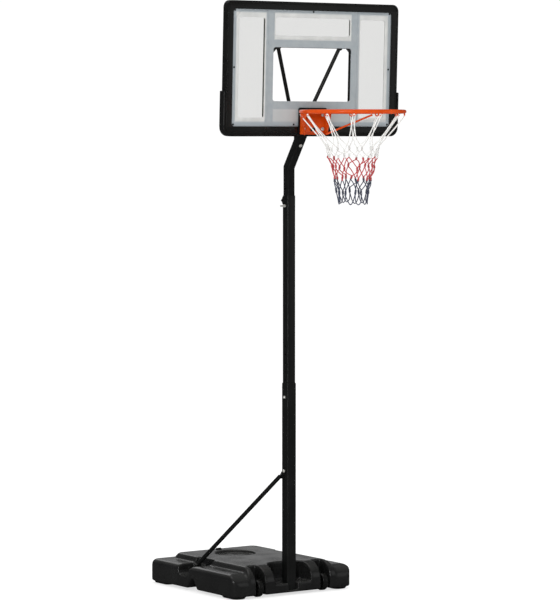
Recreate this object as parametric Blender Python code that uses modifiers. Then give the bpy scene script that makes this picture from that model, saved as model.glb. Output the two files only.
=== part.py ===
"""Portable basketball hoop: a water-filled tank base on wheels, a telescoping square pole, a
framed backboard and a steel rim with a net. Metres, +Z up. The origin is the centre of the
tank's flat underside; the rim is towards -Y and the pole stands near the tank's front edge."""

import math

import bmesh
import bpy
from mathutils import Matrix, Vector

# ---- driving dimensions -------------------------------------------------------------------
GAP = 0.0003

TANK_WIDTH = 0.684
TANK_LENGTH = 0.725
TANK_CORNER_RADIUS = 0.036
TANK_EDGE_RADIUS = 0.026
TANK_SKIRT_Z = 0.012
TANK_WALL = 0.005
SHOULDER_Z = 0.117
PLATEAU_Z = 0.143
PLATEAU_HALF_WIDTH = 0.229
PLATEAU_SLOPE = 0.051
PLATEAU_ROOT = 0.057
SHOULDER_ROUNDING = 0.065
PLATEAU_ROUNDING = 0.085
WATER_LEVEL = 0.124

POLE_Y = 0.04 - TANK_LENGTH / 2
PLATEAU_BACK = POLE_Y + 0.622
DISH_RADIUS = 0.0975
DISH_DEPTH = 0.014
DISH_Y = POLE_Y + 0.45
FILLER_RADIUS = 0.0105
FILLER_Y = POLE_Y + 0.592
GROOVE_X = 0.215
GROOVE_BACK = POLE_Y + 0.432
GROOVE_FRONT = POLE_Y + 0.362
ARCH_FRONT = POLE_Y + 0.296
GROOVE_Z = 0.067
WEDGE_X = 0.27
WEDGE_Y = POLE_Y + 0.312
WEDGE_TOP = 0.059
POCKET_WIDTH = 0.207
POCKET_BACK = 0.085
LIP_Z = 0.056
POLE_FOOT_Z = 0.022
FOOT_BOLT_Z = 0.015
FOOT_BLOCK_TOP = 0.022

WHEEL_X = 0.185
WHEEL_Y = POLE_Y - 0.005
WHEEL_RADIUS = 0.041
WHEEL_WIDTH = 0.028
WHEEL_Z = 0.0425
SLOT_WIDTH = 0.052
AXLE_RADIUS = 0.004
AXLE_SEAT = 0.014

LOWER_SIZE = 0.050
MIDDLE_SIZE = 0.045
NECK_SIZE = 0.040
TUBE_WALL = 0.0015
TUBE_CORNER = 0.006
LOWER_TOP = 0.993
MIDDLE_BOTTOM = 0.829
MIDDLE_TOP = 1.870
NECK_BOTTOM = 1.580
NECK_BEND = 2.0015
NECK_LEAN = math.radians(34)
HOLE_PITCH = 0.040
HOLE_COUNT = 7
LOWER_BOLT_Z = 0.927
UPPER_BOLT_Z = 1.822
KNOB_DROP = 0.023
KNOB_BOSS = 0.004
LOWER_KNOB_RADIUS = 0.0135
UPPER_KNOB_RADIUS = 0.019
BOLT_RADIUS = 0.004
HOLE_RADIUS = 0.0043

BRACE_TOP_Z = 0.581
BRACE_FOOT_X = 0.250
BRACE_FOOT_Y = POLE_Y + 0.40
BRACE_FOOT_Z = 0.092
BRACE_RADIUS = 0.010
STRUT_RADIUS = 0.0088
STRUT_BOLT_Z = 2.1145

RIM_Z = 2.2575
RIM_FORWARD = 0.50
RIM_RADIUS = 0.234
RIM_WIRE = 0.009
HOOK_COUNT = 12
HOOK_TURN = math.radians(25)
LEFT_ROD_TURN = math.radians(155)
RIGHT_ROD_TURN = math.radians(32)
ROD_RADIUS = 0.0045

BOARD_FORWARD = 0.18
BOARD_TILT = math.radians(2)
FRAME_HALF_WIDTH = 0.485
FRAME_BOTTOM = -0.105
FRAME_TOP = 0.503
FRAME_BORDER = 0.0385
FRAME_CORNER = 0.032
FRAME_FRONT = -0.006
FRAME_BACK = 0.022
PANEL_THICKNESS = 0.004
PANEL_LIP = 0.010
GUARD_HALF_WIDTH = 0.495
GUARD_BOTTOM = -0.112
GUARD_TOP = 0.094
WINDOW_HALF_WIDTH = 0.220
WINDOW_BOTTOM = 0.049
WINDOW_TOP = 0.295
REAR_TUBE = 0.042
REAR_BAR_LOW = WINDOW_TOP - 0.002
REAR_BAR_HIGH = WINDOW_TOP + 0.036
REAR_GUSSET = 0.028
STRUT_END_X = 0.180
STRUT_END_UP = WINDOW_TOP + 0.017
BRACKET_HALF_WIDTH = 0.0715
BRACKET_BOTTOM = -0.102
BRACKET_SHEET = 0.003
LIP_DEPTH = 0.016
RIM_BOLT_X = 0.053
RIM_BOLT_HIGH = -0.0115
RIM_BOLT_LOW = -0.0775
RIM_BOLT_ROWS = (RIM_BOLT_LOW, RIM_BOLT_HIGH)
PAD_FRONT = FRAME_FRONT - GAP - 0.005
BRACKET_BACK = PAD_FRONT - GAP
BRACKET_FRONT = BRACKET_BACK - BRACKET_SHEET

POLE = Matrix.Translation((0, POLE_Y, 0))
BOARD = Matrix.Translation((0, POLE_Y - BOARD_FORWARD, RIM_Z)) @ Matrix.Rotation(BOARD_TILT, 4, "X")
RIM_CENTRE = Matrix.Translation((0, POLE_Y - RIM_FORWARD, RIM_Z))
FACE_FRONT = Matrix.Rotation(math.radians(90), 4, "X")
FACE_BACK = Matrix.Rotation(math.radians(-90), 4, "X")
FACE_RIGHT = Matrix.Rotation(math.radians(90), 4, "Y")
FACE_LEFT = Matrix.Rotation(math.radians(-90), 4, "Y")


# ---- scene ----------------------------------------------------------------------------------
def clear_scene():
    for thing in list(bpy.data.objects):
        bpy.data.objects.remove(thing, do_unlink=True)


def new_collection(name):
    collection = bpy.data.collections.new(name)
    bpy.context.scene.collection.children.link(collection)
    return collection


clear_scene()
HOOP = new_collection("portable_basketball_hoop")
CUTTERS = new_collection("cutters")


def make_material(name, colour, roughness, metallic=0.0, alpha=1.0):
    material = bpy.data.materials.new(name)
    material.use_nodes = True
    shader = material.node_tree.nodes["Principled BSDF"]
    shader.inputs["Base Color"].default_value = (*colour, 1.0)
    shader.inputs["Roughness"].default_value = roughness
    shader.inputs["Metallic"].default_value = metallic
    shader.inputs["Alpha"].default_value = alpha
    return material


TANK_PLASTIC = make_material("tank_plastic", (0.012, 0.012, 0.013), 0.42)
POLE_PAINT = make_material("pole_paint", (0.011, 0.012, 0.012), 0.38, 0.3)
BLACK_PLASTIC = make_material("black_plastic", (0.014, 0.014, 0.015), 0.45)
RUBBER = make_material("rubber", (0.010, 0.010, 0.011), 0.75)
ZINC = make_material("zinc_steel", (0.62, 0.61, 0.57), 0.30, 1.0)
RIM_PAINT = make_material("rim_paint", (0.72, 0.115, 0.018), 0.30, 0.2)
PANEL_PLASTIC = make_material("panel_plastic", (0.46, 0.50, 0.53), 0.40)
PANE_PLASTIC = make_material("pane_plastic", (0.80, 0.81, 0.78), 0.30)
NET_CORD = make_material("net_cord", (0.85, 0.85, 0.83), 0.80)
WATER = make_material("water", (0.55, 0.70, 0.78), 0.05)


# ---- shape helpers --------------------------------------------------------------------------
def add_object(name, mesh, place, material):
    thing = bpy.data.objects.new(name, mesh)
    thing.matrix_world = place
    thing.data.materials.append(material)
    HOOP.objects.link(thing)
    return thing


def make_guide(thing):
    HOOP.objects.unlink(thing)
    CUTTERS.objects.link(thing)
    thing.hide_render = True
    thing.display_type = "WIRE"


def combine(target, other, operation):
    modifier = target.modifiers.new(other.name, "BOOLEAN")
    modifier.operation = operation
    modifier.solver = "EXACT"
    modifier.object = other
    make_guide(other)


def cut(target, *cutters):
    for cutter in cutters:
        combine(target, cutter, "DIFFERENCE")


def join(target, *pieces):
    for piece in pieces:
        combine(target, piece, "UNION")


def smooth(mesh, angle=35):
    mesh.shade_smooth()
    mesh.set_sharp_from_angle(angle=math.radians(angle))


def rectangle(left, right, bottom, top, radius=0.0, steps=4):
    """A rectangle's corners, each one an arc when a radius is given."""
    if radius <= 0:
        return [(right, bottom), (right, top), (left, top), (left, bottom)]
    centres = [
        (right - radius, bottom + radius, -90),
        (right - radius, top - radius, 0),
        (left + radius, top - radius, 90),
        (left + radius, bottom + radius, 180),
    ]
    points = []
    for x, y, start in centres:
        for step in range(steps + 1):
            turn = math.radians(start + 90 * step / steps)
            points.append((x + radius * math.cos(turn), y + radius * math.sin(turn)))
    return points


def circle(radius, x=0.0, y=0.0, steps=10):
    turns = [2 * math.pi * (step + 0.3) / steps for step in range(steps)]
    return [(x + radius * math.cos(turn), y + radius * math.sin(turn)) for turn in turns]


def prism(name, loops, low, high, place, material):
    """A flat outline, with any inner loops as holes, standing from low to high along local Z."""
    curve = bpy.data.curves.new(name, "CURVE")
    curve.dimensions = "2D"
    curve.fill_mode = "BOTH"
    curve.extrude = (high - low) / 2
    for loop in loops:
        spline = curve.splines.new("POLY")
        spline.points.add(len(loop) - 1)
        spline.use_cyclic_u = True
        for point, (x, y) in zip(spline.points, loop):
            point.co = (x, y, 0, 1)
    drawn = bpy.data.objects.new(name + "_outline", curve)
    HOOP.objects.link(drawn)
    bpy.context.view_layer.update()
    evaluated = drawn.evaluated_get(bpy.context.evaluated_depsgraph_get())
    mesh = bpy.data.meshes.new_from_object(evaluated)
    mesh.name = name
    bpy.data.objects.remove(drawn, do_unlink=True)
    weld(mesh)
    mesh.transform(Matrix.Translation((0, 0, (high + low) / 2)))
    smooth(mesh)
    return add_object(name, mesh, place, material)


def weld(mesh):
    shape = bmesh.new()
    shape.from_mesh(mesh)
    bmesh.ops.remove_doubles(shape, verts=shape.verts, dist=0.00001)
    bmesh.ops.recalc_face_normals(shape, faces=shape.faces)
    shape.to_mesh(mesh)
    shape.free()


def board_prism(name, loops, front, back, material):
    """A flat piece that lies in the backboard's plane between two depths behind its face."""
    return prism(name, loops, -back, -front, BOARD @ FACE_FRONT, material)


def turned(name, profile, place, material, steps=20, closed=False):
    """A (radius, height) profile, listed down its outer side, turned round local Z."""
    mesh = bpy.data.meshes.new(name)
    points = [(radius, 0, height) for radius, height in profile]
    edges = [(index, index + 1) for index in range(len(points) - 1)]
    if closed:
        edges.append((len(points) - 1, 0))
    mesh.from_pydata(points, edges, [])
    thing = add_object(name, mesh, place, material)
    screw = thing.modifiers.new("turn", "SCREW")
    screw.axis = "Z"
    screw.steps = steps
    screw.render_steps = steps
    screw.use_merge_vertices = True
    screw.merge_threshold = 0.00001
    screw.use_smooth_shade = True
    return thing


def rod(name, start, end, radius, material, steps=10):
    """A straight round rod between two points."""
    start = Vector(start)
    end = Vector(end)
    reach = end - start
    turn = Vector((0, 0, 1)).rotation_difference(reach).to_matrix().to_4x4()
    shape = bmesh.new()
    bmesh.ops.create_cone(
        shape, cap_ends=True, segments=steps, radius1=radius, radius2=radius, depth=reach.length
    )
    mesh = bpy.data.meshes.new(name)
    shape.to_mesh(mesh)
    shape.free()
    smooth(mesh)
    return add_object(name, mesh, Matrix.Translation((start + end) / 2) @ turn, material)


def block(name, low, high, place, material, rounding=0.0, along="XYZ", steps=3):
    """A box between two corners; the edges that run along the named axes are rounded."""
    low = Vector(low)
    high = Vector(high)
    shape = bmesh.new()
    bmesh.ops.create_cube(shape, size=1.0)
    bmesh.ops.scale(shape, vec=high - low, verts=shape.verts)
    bmesh.ops.translate(shape, vec=(high + low) / 2, verts=shape.verts)
    if rounding > 0:
        chosen = [edge for edge in shape.edges if runs_along(edge, along)]
        bmesh.ops.bevel(
            shape, geom=chosen, offset=rounding, segments=steps, profile=0.5, affect="EDGES"
        )
    mesh = bpy.data.meshes.new(name)
    shape.to_mesh(mesh)
    shape.free()
    smooth(mesh)
    return add_object(name, mesh, place, material)


def runs_along(edge, axes):
    reach = (edge.verts[1].co - edge.verts[0].co).normalized()
    return any(abs(reach["XYZ".index(axis)]) > 0.99 for axis in axes)


def fastener(name, place, head, shank, length, tail=0.0, steps=12):
    """A round-headed bolt along local Z: head above zero, shank below, optional thin tail."""
    radius, height = head
    profile = [
        (0, height),
        (radius * 0.7, height),
        (radius, height * 0.5),
        (radius, 0),
        (shank, 0),
        (shank, -length - tail),
        (0, -length - tail),
    ]
    return turned(name, profile, place, ZINC, steps)


def hexagon_nut(name, place, across, height):
    ring = circle(across / math.sqrt(3), steps=6)
    return prism(name, [ring, circle(HOLE_RADIUS)], 0, height, place, ZINC)


# ---- tank -----------------------------------------------------------------------------------
def top_loop(edge, height):
    level = all(abs(vert.co.z - height) < 1e-5 for vert in edge.verts)
    return level and any(abs(face.normal.z) < 0.9 for face in edge.link_faces)


def soft_block(name, bottom_rect, top_rect, low, high, corner, edge_radius):
    """A box whose top may be smaller than its bottom, with round corners and a round top edge."""
    shape = bmesh.new()
    bmesh.ops.create_cube(shape, size=1.0)
    for vert in shape.verts:
        left, right, front, back = top_rect if vert.co.z > 0 else bottom_rect
        vert.co = (
            right if vert.co.x > 0 else left,
            back if vert.co.y > 0 else front,
            high if vert.co.z > 0 else low,
        )
    upright = [edge for edge in shape.edges if abs(edge.verts[0].co.z - edge.verts[1].co.z) > 0.001]
    bmesh.ops.bevel(
        shape, geom=upright, offset=corner, segments=4, profile=0.5, affect="EDGES"
    )
    shape.normal_update()
    rim = [edge for edge in shape.edges if top_loop(edge, high)]
    bmesh.ops.bevel(
        shape, geom=rim, offset=edge_radius, segments=3, profile=0.5, affect="EDGES"
    )
    mesh = bpy.data.meshes.new(name)
    shape.to_mesh(mesh)
    shape.free()
    smooth(mesh, 50)
    return add_object(name, mesh, Matrix.Identity(4), TANK_PLASTIC)


def tank_form(name, inset):
    """The tank's outline shrunk by inset; its recesses grow by the same amount."""
    half_width = TANK_WIDTH / 2 - inset
    front = inset - TANK_LENGTH / 2
    plan = (-half_width, half_width, front, -front)
    form = soft_block(
        name, plan, plan, TANK_SKIRT_Z + inset, SHOULDER_Z - inset,
        TANK_CORNER_RADIUS - inset, TANK_EDGE_RADIUS - inset,
    )
    top_half = PLATEAU_HALF_WIDTH - inset
    top = (-top_half, top_half, front, PLATEAU_BACK - inset)
    foot_half = top_half + PLATEAU_SLOPE
    foot_back = min(PLATEAU_BACK + PLATEAU_SLOPE, TANK_LENGTH / 2 - 0.004) - inset
    foot = (-foot_half, foot_half, front, foot_back)
    plateau = soft_block(
        name + "_plateau", foot, top, PLATEAU_ROOT, PLATEAU_Z - inset, 0.03, 0.006
    )
    cut(form, front_rounding(name + "_shoulder", inset, SHOULDER_Z, SHOULDER_ROUNDING))
    cut(plateau, front_rounding(name + "_top", inset, PLATEAU_Z, PLATEAU_ROUNDING))
    join(form, plateau)
    cut(form, pole_pocket(name, inset), dish(name, inset))
    for side in (-1, 1):
        cut(form, wheel_slot(name, side, inset), side_groove(name, side, inset))
        cut(form, side_wedge(name, side, inset))
    return form


def front_rounding(name, inset, height, rounding):
    """What the big curve from a level's top to the tank's front edge leaves off."""
    centre_y = rounding - TANK_LENGTH / 2
    centre_z = height - rounding
    radius = rounding - inset
    turns = [math.radians(90 + 9 * step) for step in range(11)]
    outline = [(centre_y + radius * math.cos(turn), centre_z + radius * math.sin(turn)) for turn in turns]
    outline += [(centre_y - 0.3, centre_z), (centre_y - 0.3, 0.3), (centre_y, 0.3)]
    return side_view_prism(name + "_front", outline, -0.4, 0.4)


def side_view_prism(name, outline, left, right):
    """A (y, z) outline that stands from left to right along X."""
    turn = Matrix.Rotation(math.radians(90), 4, "Z") @ FACE_FRONT
    return prism(name, [outline], left, right, turn, TANK_PLASTIC)


def pole_pocket(name, inset):
    half = POCKET_WIDTH / 2 + inset
    floor = LIP_Z if inset == 0 else -0.1
    return block(
        name + "_pocket", (-half, -0.2, floor), (half, POCKET_BACK + inset, 0.3),
        POLE, TANK_PLASTIC, 0.08, "Z", 6,
    )


def dish(name, inset):
    return rod(
        name + "_dish", (0, DISH_Y, PLATEAU_Z - DISH_DEPTH - inset), (0, DISH_Y, 0.3),
        DISH_RADIUS + inset, TANK_PLASTIC, 40,
    )


def wheel_slot(name, side, inset):
    """The cavity keeps clear of the axle's seats as well as of the slot."""
    half = SLOT_WIDTH / 2 + (inset + AXLE_SEAT if inset > 0 else 0)
    back = WHEEL_RADIUS + 0.012 + inset
    return block(
        f"{name}_slot_{side}", (-half, -0.1, -0.1), (half, back, 0.3),
        Matrix.Translation((side * WHEEL_X, WHEEL_Y, 0)), TANK_PLASTIC, 0.01, "Z", 2,
    )


def side_groove(name, side, inset):
    """A brace's foot stands in this groove; its front end rises in a curve to an arch in the plateau."""
    back = GROOVE_BACK + inset
    floor = GROOVE_Z - inset
    front = GROOVE_FRONT - inset
    arch = ARCH_FRONT - inset
    shoulder = SHOULDER_Z - inset
    outline = [
        (back, 0.3), (back, floor + 0.02), (back - 0.006, floor + 0.006), (back - 0.02, floor),
        (front, floor), (front - 0.012, floor + 0.007), (front - 0.018, floor + 0.022),
        (front - 0.024, shoulder - 0.013),
        (front - 0.036, shoulder - 0.003), (arch + 0.008, shoulder + 0.001), (arch, shoulder + 0.009),
        (arch, 0.3),
    ]
    edges = sorted((side * (GROOVE_X - inset), side * 0.4))
    return side_view_prism(f"{name}_groove_{side}", outline, *edges)


def side_wedge(name, side, inset):
    """A notch with sloping sides, open at the tank's underside."""
    top = WEDGE_TOP + inset
    wide = 0.042 + inset
    narrow = 0.011 + inset
    foot = TANK_SKIRT_Z
    outline = [(-wide, -0.1), (wide, -0.1), (wide, foot), (narrow, top), (-narrow, top), (-wide, foot)]
    outline = [(WEDGE_Y + y, z) for y, z in outline]
    edges = sorted((side * (WEDGE_X - inset), side * 0.4))
    return side_view_prism(f"{name}_wedge_{side}", outline, *edges)


def tank_feet(tank):
    """Four corner feet and a central pad stand on the floor; the skirt between them doesn't."""
    corner_x = TANK_WIDTH / 2 - 0.075
    corner_y = TANK_LENGTH / 2 - 0.075
    places = [(sx * corner_x, sy * corner_y) for sx in (-1, 1) for sy in (-1, 1)]
    for index, (x, y) in enumerate(places):
        if y < 0:
            x = math.copysign(corner_x + 0.022, x)
        half = (0.06 if y > 0 else 0.034, 0.06)
        foot = block(
            f"foot_{index}", (x - half[0], y - half[1], 0), (x + half[0], y + half[1], FOOT_BLOCK_TOP),
            Matrix.Identity(4), TANK_PLASTIC, 0.02, "Z",
        )
        join(tank, foot)
    pad = block(
        "centre_pad", (-0.16, -0.13, 0), (0.16, 0.2, FOOT_BLOCK_TOP), Matrix.Identity(4),
        TANK_PLASTIC, 0.03, "Z",
    )
    join(tank, pad)


def brace_bosses(tank):
    """A solid boss in each side groove takes the screw of a brace's foot."""
    for side in (-1, 1):
        edges = sorted((side * (GROOVE_X - 0.003), side * BRACE_FOOT_X))
        boss = block(
            f"brace_boss_{side}", (edges[0], BRACE_FOOT_Y - 0.025, GROOVE_Z - 0.01),
            (edges[1], GROOVE_BACK + 0.01, BRACE_FOOT_Z + 0.018), Matrix.Identity(4),
            TANK_PLASTIC, 0.006, "X", 2,
        )
        join(tank, boss)


def tank_holes(tank):
    """The pole's socket is open at the tank's front edge."""
    half = LOWER_SIZE / 2 + GAP
    socket = block(
        "pole_socket", (-half, -0.2, POLE_FOOT_Z), (half, half, 0.1), POLE, TANK_PLASTIC, TUBE_CORNER, "Z"
    )
    below = (0, POLE_Y, -0.01)
    foot_bore = rod("foot_bore", below, (0, POLE_Y, POLE_FOOT_Z + 0.01), HOLE_RADIUS, TANK_PLASTIC)
    counterbore = rod("counterbore", below, (0, POLE_Y, FOOT_BOLT_Z), 0.012, TANK_PLASTIC, 16)
    filler = rod("filler_bore", (0, FILLER_Y, 0.1), (0, FILLER_Y, 0.2), FILLER_RADIUS, TANK_PLASTIC, 20)
    cut(tank, socket, foot_bore, counterbore, filler)
    for side in (-1, 1):
        reach = SLOT_WIDTH / 2 + AXLE_SEAT
        x = side * WHEEL_X
        seat = rod(
            f"axle_seat_{side}", (x - reach, WHEEL_Y, WHEEL_Z), (x + reach, WHEEL_Y, WHEEL_Z),
            AXLE_RADIUS + GAP, TANK_PLASTIC,
        )
        start = (side * (BRACE_FOOT_X - 0.018), BRACE_FOOT_Y, BRACE_FOOT_Z)
        end = (side * (BRACE_FOOT_X + 0.01), BRACE_FOOT_Y, BRACE_FOOT_Z)
        screw_hole = rod(f"brace_screw_hole_{side}", start, end, 0.0033, TANK_PLASTIC)
        cut(tank, seat, screw_hole)


def build_tank():
    tank = tank_form("base_tank", 0)
    tank_feet(tank)
    brace_bosses(tank)
    cut(tank, tank_form("cavity", TANK_WALL))
    tank_holes(tank)


def build_ballast():
    water = tank_form("ballast_water", TANK_WALL + GAP)
    water.data.materials[0] = WATER
    above = block("above_water", (-0.5, -0.5, WATER_LEVEL), (0.5, 0.5, 0.3), Matrix.Identity(4), WATER)
    cut(water, above)


def build_filler():
    """A low screw cap with a grip bar, on a flat ring seal."""
    place = Matrix.Translation((0, FILLER_Y, 0))
    seal_low = PLATEAU_Z + GAP
    seal_high = seal_low + 0.0015
    inner = FILLER_RADIUS + 0.001
    outer = FILLER_RADIUS + 0.004
    ring = [(outer, seal_high), (outer, seal_low), (inner, seal_low), (inner, seal_high)]
    turned("filler_seal", ring, place, RUBBER, 20, closed=True)
    base = seal_high + GAP
    plug = FILLER_RADIUS - GAP
    brim = outer + 0.0005
    cap = [(0, base + 0.003), (brim - 0.002, base + 0.003), (brim, base + 0.0015), (brim, base)]
    cap += [(plug, base), (plug, base - 0.012), (0, base - 0.012)]
    cap_body = turned("filler_cap", cap, place, BLACK_PLASTIC, 20)
    grip = block(
        "cap_grip", (-0.012, -0.002, base + 0.002), (0.012, 0.002, base + 0.005), place, BLACK_PLASTIC
    )
    join(cap_body, grip)


# ---- wheels ---------------------------------------------------------------------------------
def build_wheel(name, side):
    place = Matrix.Translation((side * WHEEL_X, WHEEL_Y, WHEEL_Z)) @ FACE_RIGHT
    half = WHEEL_WIDTH / 2
    hub = half + 0.007
    tread = WHEEL_RADIUS - 0.003
    bore = AXLE_RADIUS + GAP
    profile = [
        (bore, hub), (0.010, hub), (0.010, half - 0.005), (0.030, half - 0.005), (0.032, half),
        (tread, half), (WHEEL_RADIUS, half * 0.6), (WHEEL_RADIUS, -half * 0.6), (tread, -half),
        (0.032, -half), (0.030, 0.005 - half), (0.010, 0.005 - half), (0.010, -hub), (bore, -hub),
    ]
    turned(name, profile, place, BLACK_PLASTIC, 20, closed=True)


def build_axle(name, side):
    reach = SLOT_WIDTH / 2 + AXLE_SEAT - GAP
    x = side * WHEEL_X
    rod(name, (x - reach, WHEEL_Y, WHEEL_Z), (x + reach, WHEEL_Y, WHEEL_Z), AXLE_RADIUS, ZINC)


# ---- pole -----------------------------------------------------------------------------------
def tube_loops(size):
    half = size / 2
    inner = half - TUBE_WALL
    return [
        rectangle(-half, half, -half, half, TUBE_CORNER),
        rectangle(-inner, inner, -inner, inner, TUBE_CORNER - TUBE_WALL),
    ]


def cross_hole(name, height, radius=HOLE_RADIUS):
    return rod(name, (-0.05, POLE_Y, height), (0.05, POLE_Y, height), radius, POLE_PAINT)


def hole_row(name, first):
    """One row of height holes through both sides of a sliding tube, as a single cutter."""
    shape = bmesh.new()
    for index in range(HOLE_COUNT):
        turn = Matrix.Translation((0, 0, first + index * HOLE_PITCH)) @ FACE_RIGHT
        bmesh.ops.create_cone(
            shape, cap_ends=True, segments=10, radius1=HOLE_RADIUS, radius2=HOLE_RADIUS,
            depth=0.1, matrix=turn,
        )
    mesh = bpy.data.meshes.new(name)
    shape.to_mesh(mesh)
    shape.free()
    return add_object(name, mesh, POLE, POLE_PAINT)


def knob_seat(tube, name, size, height):
    """A threaded boss welded to the tube's rear face, and the hole behind it."""
    face = size / 2
    start = (0, POLE_Y + face - 0.001, height)
    join(tube, rod(name + "_boss", start, (0, POLE_Y + face + KNOB_BOSS, height), 0.009, POLE_PAINT, 16))
    start = (0, POLE_Y + face - 0.01, height)
    cut(tube, rod(name + "_thread", start, (0, POLE_Y + face + 0.02, height), HOLE_RADIUS, POLE_PAINT))


def build_pole_lower():
    tube = prism(
        "pole_lower", tube_loops(LOWER_SIZE), 0, LOWER_TOP - POLE_FOOT_Z - GAP,
        Matrix.Translation((0, POLE_Y, POLE_FOOT_Z + GAP)), POLE_PAINT,
    )
    cut(tube, cross_hole("lower_bolt_hole", LOWER_BOLT_Z), cross_hole("brace_bolt_hole", BRACE_TOP_Z))
    knob_seat(tube, "lower_knob", LOWER_SIZE, LOWER_TOP - KNOB_DROP)


def build_pole_middle():
    tube = prism(
        "pole_middle", tube_loops(MIDDLE_SIZE), 0, MIDDLE_TOP - MIDDLE_BOTTOM,
        Matrix.Translation((0, POLE_Y, MIDDLE_BOTTOM)), POLE_PAINT,
    )
    cut(tube, hole_row("middle_holes", LOWER_BOLT_Z), cross_hole("upper_bolt_hole", UPPER_BOLT_Z))
    knob_seat(tube, "upper_knob", MIDDLE_SIZE, MIDDLE_TOP - KNOB_DROP)


def neck_outline(half):
    """Side view of the bent tube: (forward, up) corners of a straight leg and a leaning leg."""
    reach = 0.40
    ahead = Vector((math.sin(NECK_LEAN), math.cos(NECK_LEAN)))
    side = Vector((math.cos(NECK_LEAN), -math.sin(NECK_LEAN)))
    mitre = math.tan(NECK_LEAN / 2) * half
    end = Vector((0, NECK_BEND)) + ahead * reach
    front_end = end + side * half
    back_end = end - side * half
    return [
        (half, NECK_BOTTOM), (half, NECK_BEND - mitre), tuple(front_end),
        tuple(back_end), (-half, NECK_BEND + mitre), (-half, NECK_BOTTOM),
    ]


def bent_bar(name, half, corner, stretch):
    """The neck's outline as a solid bar; its long edges are rounded, its ends stay square."""
    outline = neck_outline(half)
    outline[0] = (outline[0][0], NECK_BOTTOM - stretch)
    outline[-1] = (outline[-1][0], NECK_BOTTOM - stretch)
    place = POLE @ Matrix.Rotation(math.radians(-90), 4, "Z") @ FACE_FRONT
    bar = prism(name, [outline], -half, half, place, POLE_PAINT)
    shape = bmesh.new()
    shape.from_mesh(bar.data)
    bmesh.ops.dissolve_limit(shape, angle_limit=0.01, verts=shape.verts, edges=shape.edges)
    long_edges = [edge for edge in shape.edges if is_long_edge(edge)]
    bmesh.ops.bevel(
        shape, geom=long_edges, offset=corner, segments=3, profile=0.5, affect="EDGES"
    )
    shape.to_mesh(bar.data)
    shape.free()
    smooth(bar.data, 25)
    return bar


def is_long_edge(edge):
    reach = edge.verts[1].co - edge.verts[0].co
    return abs(reach.z) < 1e-6 and reach.length > 0.1


def build_pole_neck():
    half = NECK_SIZE / 2
    neck = bent_bar("pole_neck", half, TUBE_CORNER - 0.001, 0)
    cut(neck, bent_bar("neck_bore", half - TUBE_WALL, TUBE_CORNER - 0.001 - TUBE_WALL, 0.01))
    ahead = block(
        "ahead_of_plate", (-0.2, -0.4, -0.3), (0.2, FRAME_BACK + GAP + 0.002, 0.4), BOARD, POLE_PAINT
    )
    cut(neck, ahead)
    holes = [circle(HOLE_RADIUS, x, y) for x in (-RIM_BOLT_X, RIM_BOLT_X) for y in RIM_BOLT_ROWS]
    plate = board_prism(
        "neck_plate", [rectangle(-0.07, 0.07, -0.100, 0.012, 0.01), *holes],
        FRAME_BACK + GAP, FRAME_BACK + GAP + 0.004, POLE_PAINT,
    )
    join(neck, plate)
    first = UPPER_BOLT_Z - 4 * HOLE_PITCH
    cut(neck, hole_row("neck_holes", first))
    centre, across = strut_bolt_axis()
    start = centre - across * 0.04
    cut(neck, rod("strut_bolt_hole", start, centre + across * 0.04, HOLE_RADIUS, POLE_PAINT))


def strut_bolt_axis():
    """The bolt crosses the leaning leg at right angles: a point on its centre line and its way back."""
    forward = (STRUT_BOLT_Z - NECK_BEND) * math.tan(NECK_LEAN)
    centre = Vector((0, POLE_Y - forward, STRUT_BOLT_Z))
    return centre, Vector((0, math.cos(NECK_LEAN), math.sin(NECK_LEAN)))


def build_pole_foot():
    half = LOWER_SIZE / 2 - TUBE_WALL - GAP
    low = POLE_FOOT_Z + GAP
    plug = prism(
        "pole_foot_plug",
        [rectangle(-half, half, -half, half, TUBE_CORNER - TUBE_WALL), circle(HOLE_RADIUS)],
        low, low + 0.04, POLE, BLACK_PLASTIC,
    )
    place = Matrix.Translation((0, POLE_Y, FOOT_BOLT_Z - GAP)) @ Matrix.Rotation(math.pi, 4, "X")
    fastener("pole_foot_bolt", place, (0.0075, 0.005), BOLT_RADIUS, 0.055)


# ---- clamping knobs and height bolts --------------------------------------------------------
def star(radius, depth, lobes, steps):
    turns = [2 * math.pi * step / steps for step in range(steps)]
    reach = [radius - depth * (1 - math.cos(lobes * turn)) / 2 for turn in turns]
    return [(size * math.cos(turn), size * math.sin(turn)) for size, turn in zip(reach, turns)]


def build_knob(level, size, inner_size, height, radius):
    """A lobed knob on the end of a screw that presses on the inner tube's rear face."""
    place = Matrix.Translation((0, POLE_Y, height)) @ FACE_BACK
    base = size / 2 + KNOB_BOSS + GAP
    top = base + 0.002 + radius * 0.6
    waist = base + radius * 0.3
    hub = [(0, waist + 0.002), (radius * 0.65, waist + 0.002), (radius * 0.5, base), (0, base)]
    knob = turned(f"clamp_knob_{level}", hub, place, BLACK_PLASTIC, 18)
    lobes = star(radius, radius * 0.24, 6, 36)
    join(knob, prism(f"knob_head_{level}", [lobes], waist, top, place, BLACK_PLASTIC))
    tip = inner_size / 2 + GAP
    end = top - 0.003
    seat = rod(f"knob_bore_{level}", (0, 0, 0), (0, 0, end), BOLT_RADIUS + GAP, ZINC)
    seat.matrix_world = place @ seat.matrix_world
    cut(knob, seat)
    stud = rod(f"clamp_screw_{level}", (0, 0, tip), (0, 0, end - GAP), BOLT_RADIUS, ZINC)
    stud.matrix_world = place @ stud.matrix_world


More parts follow.
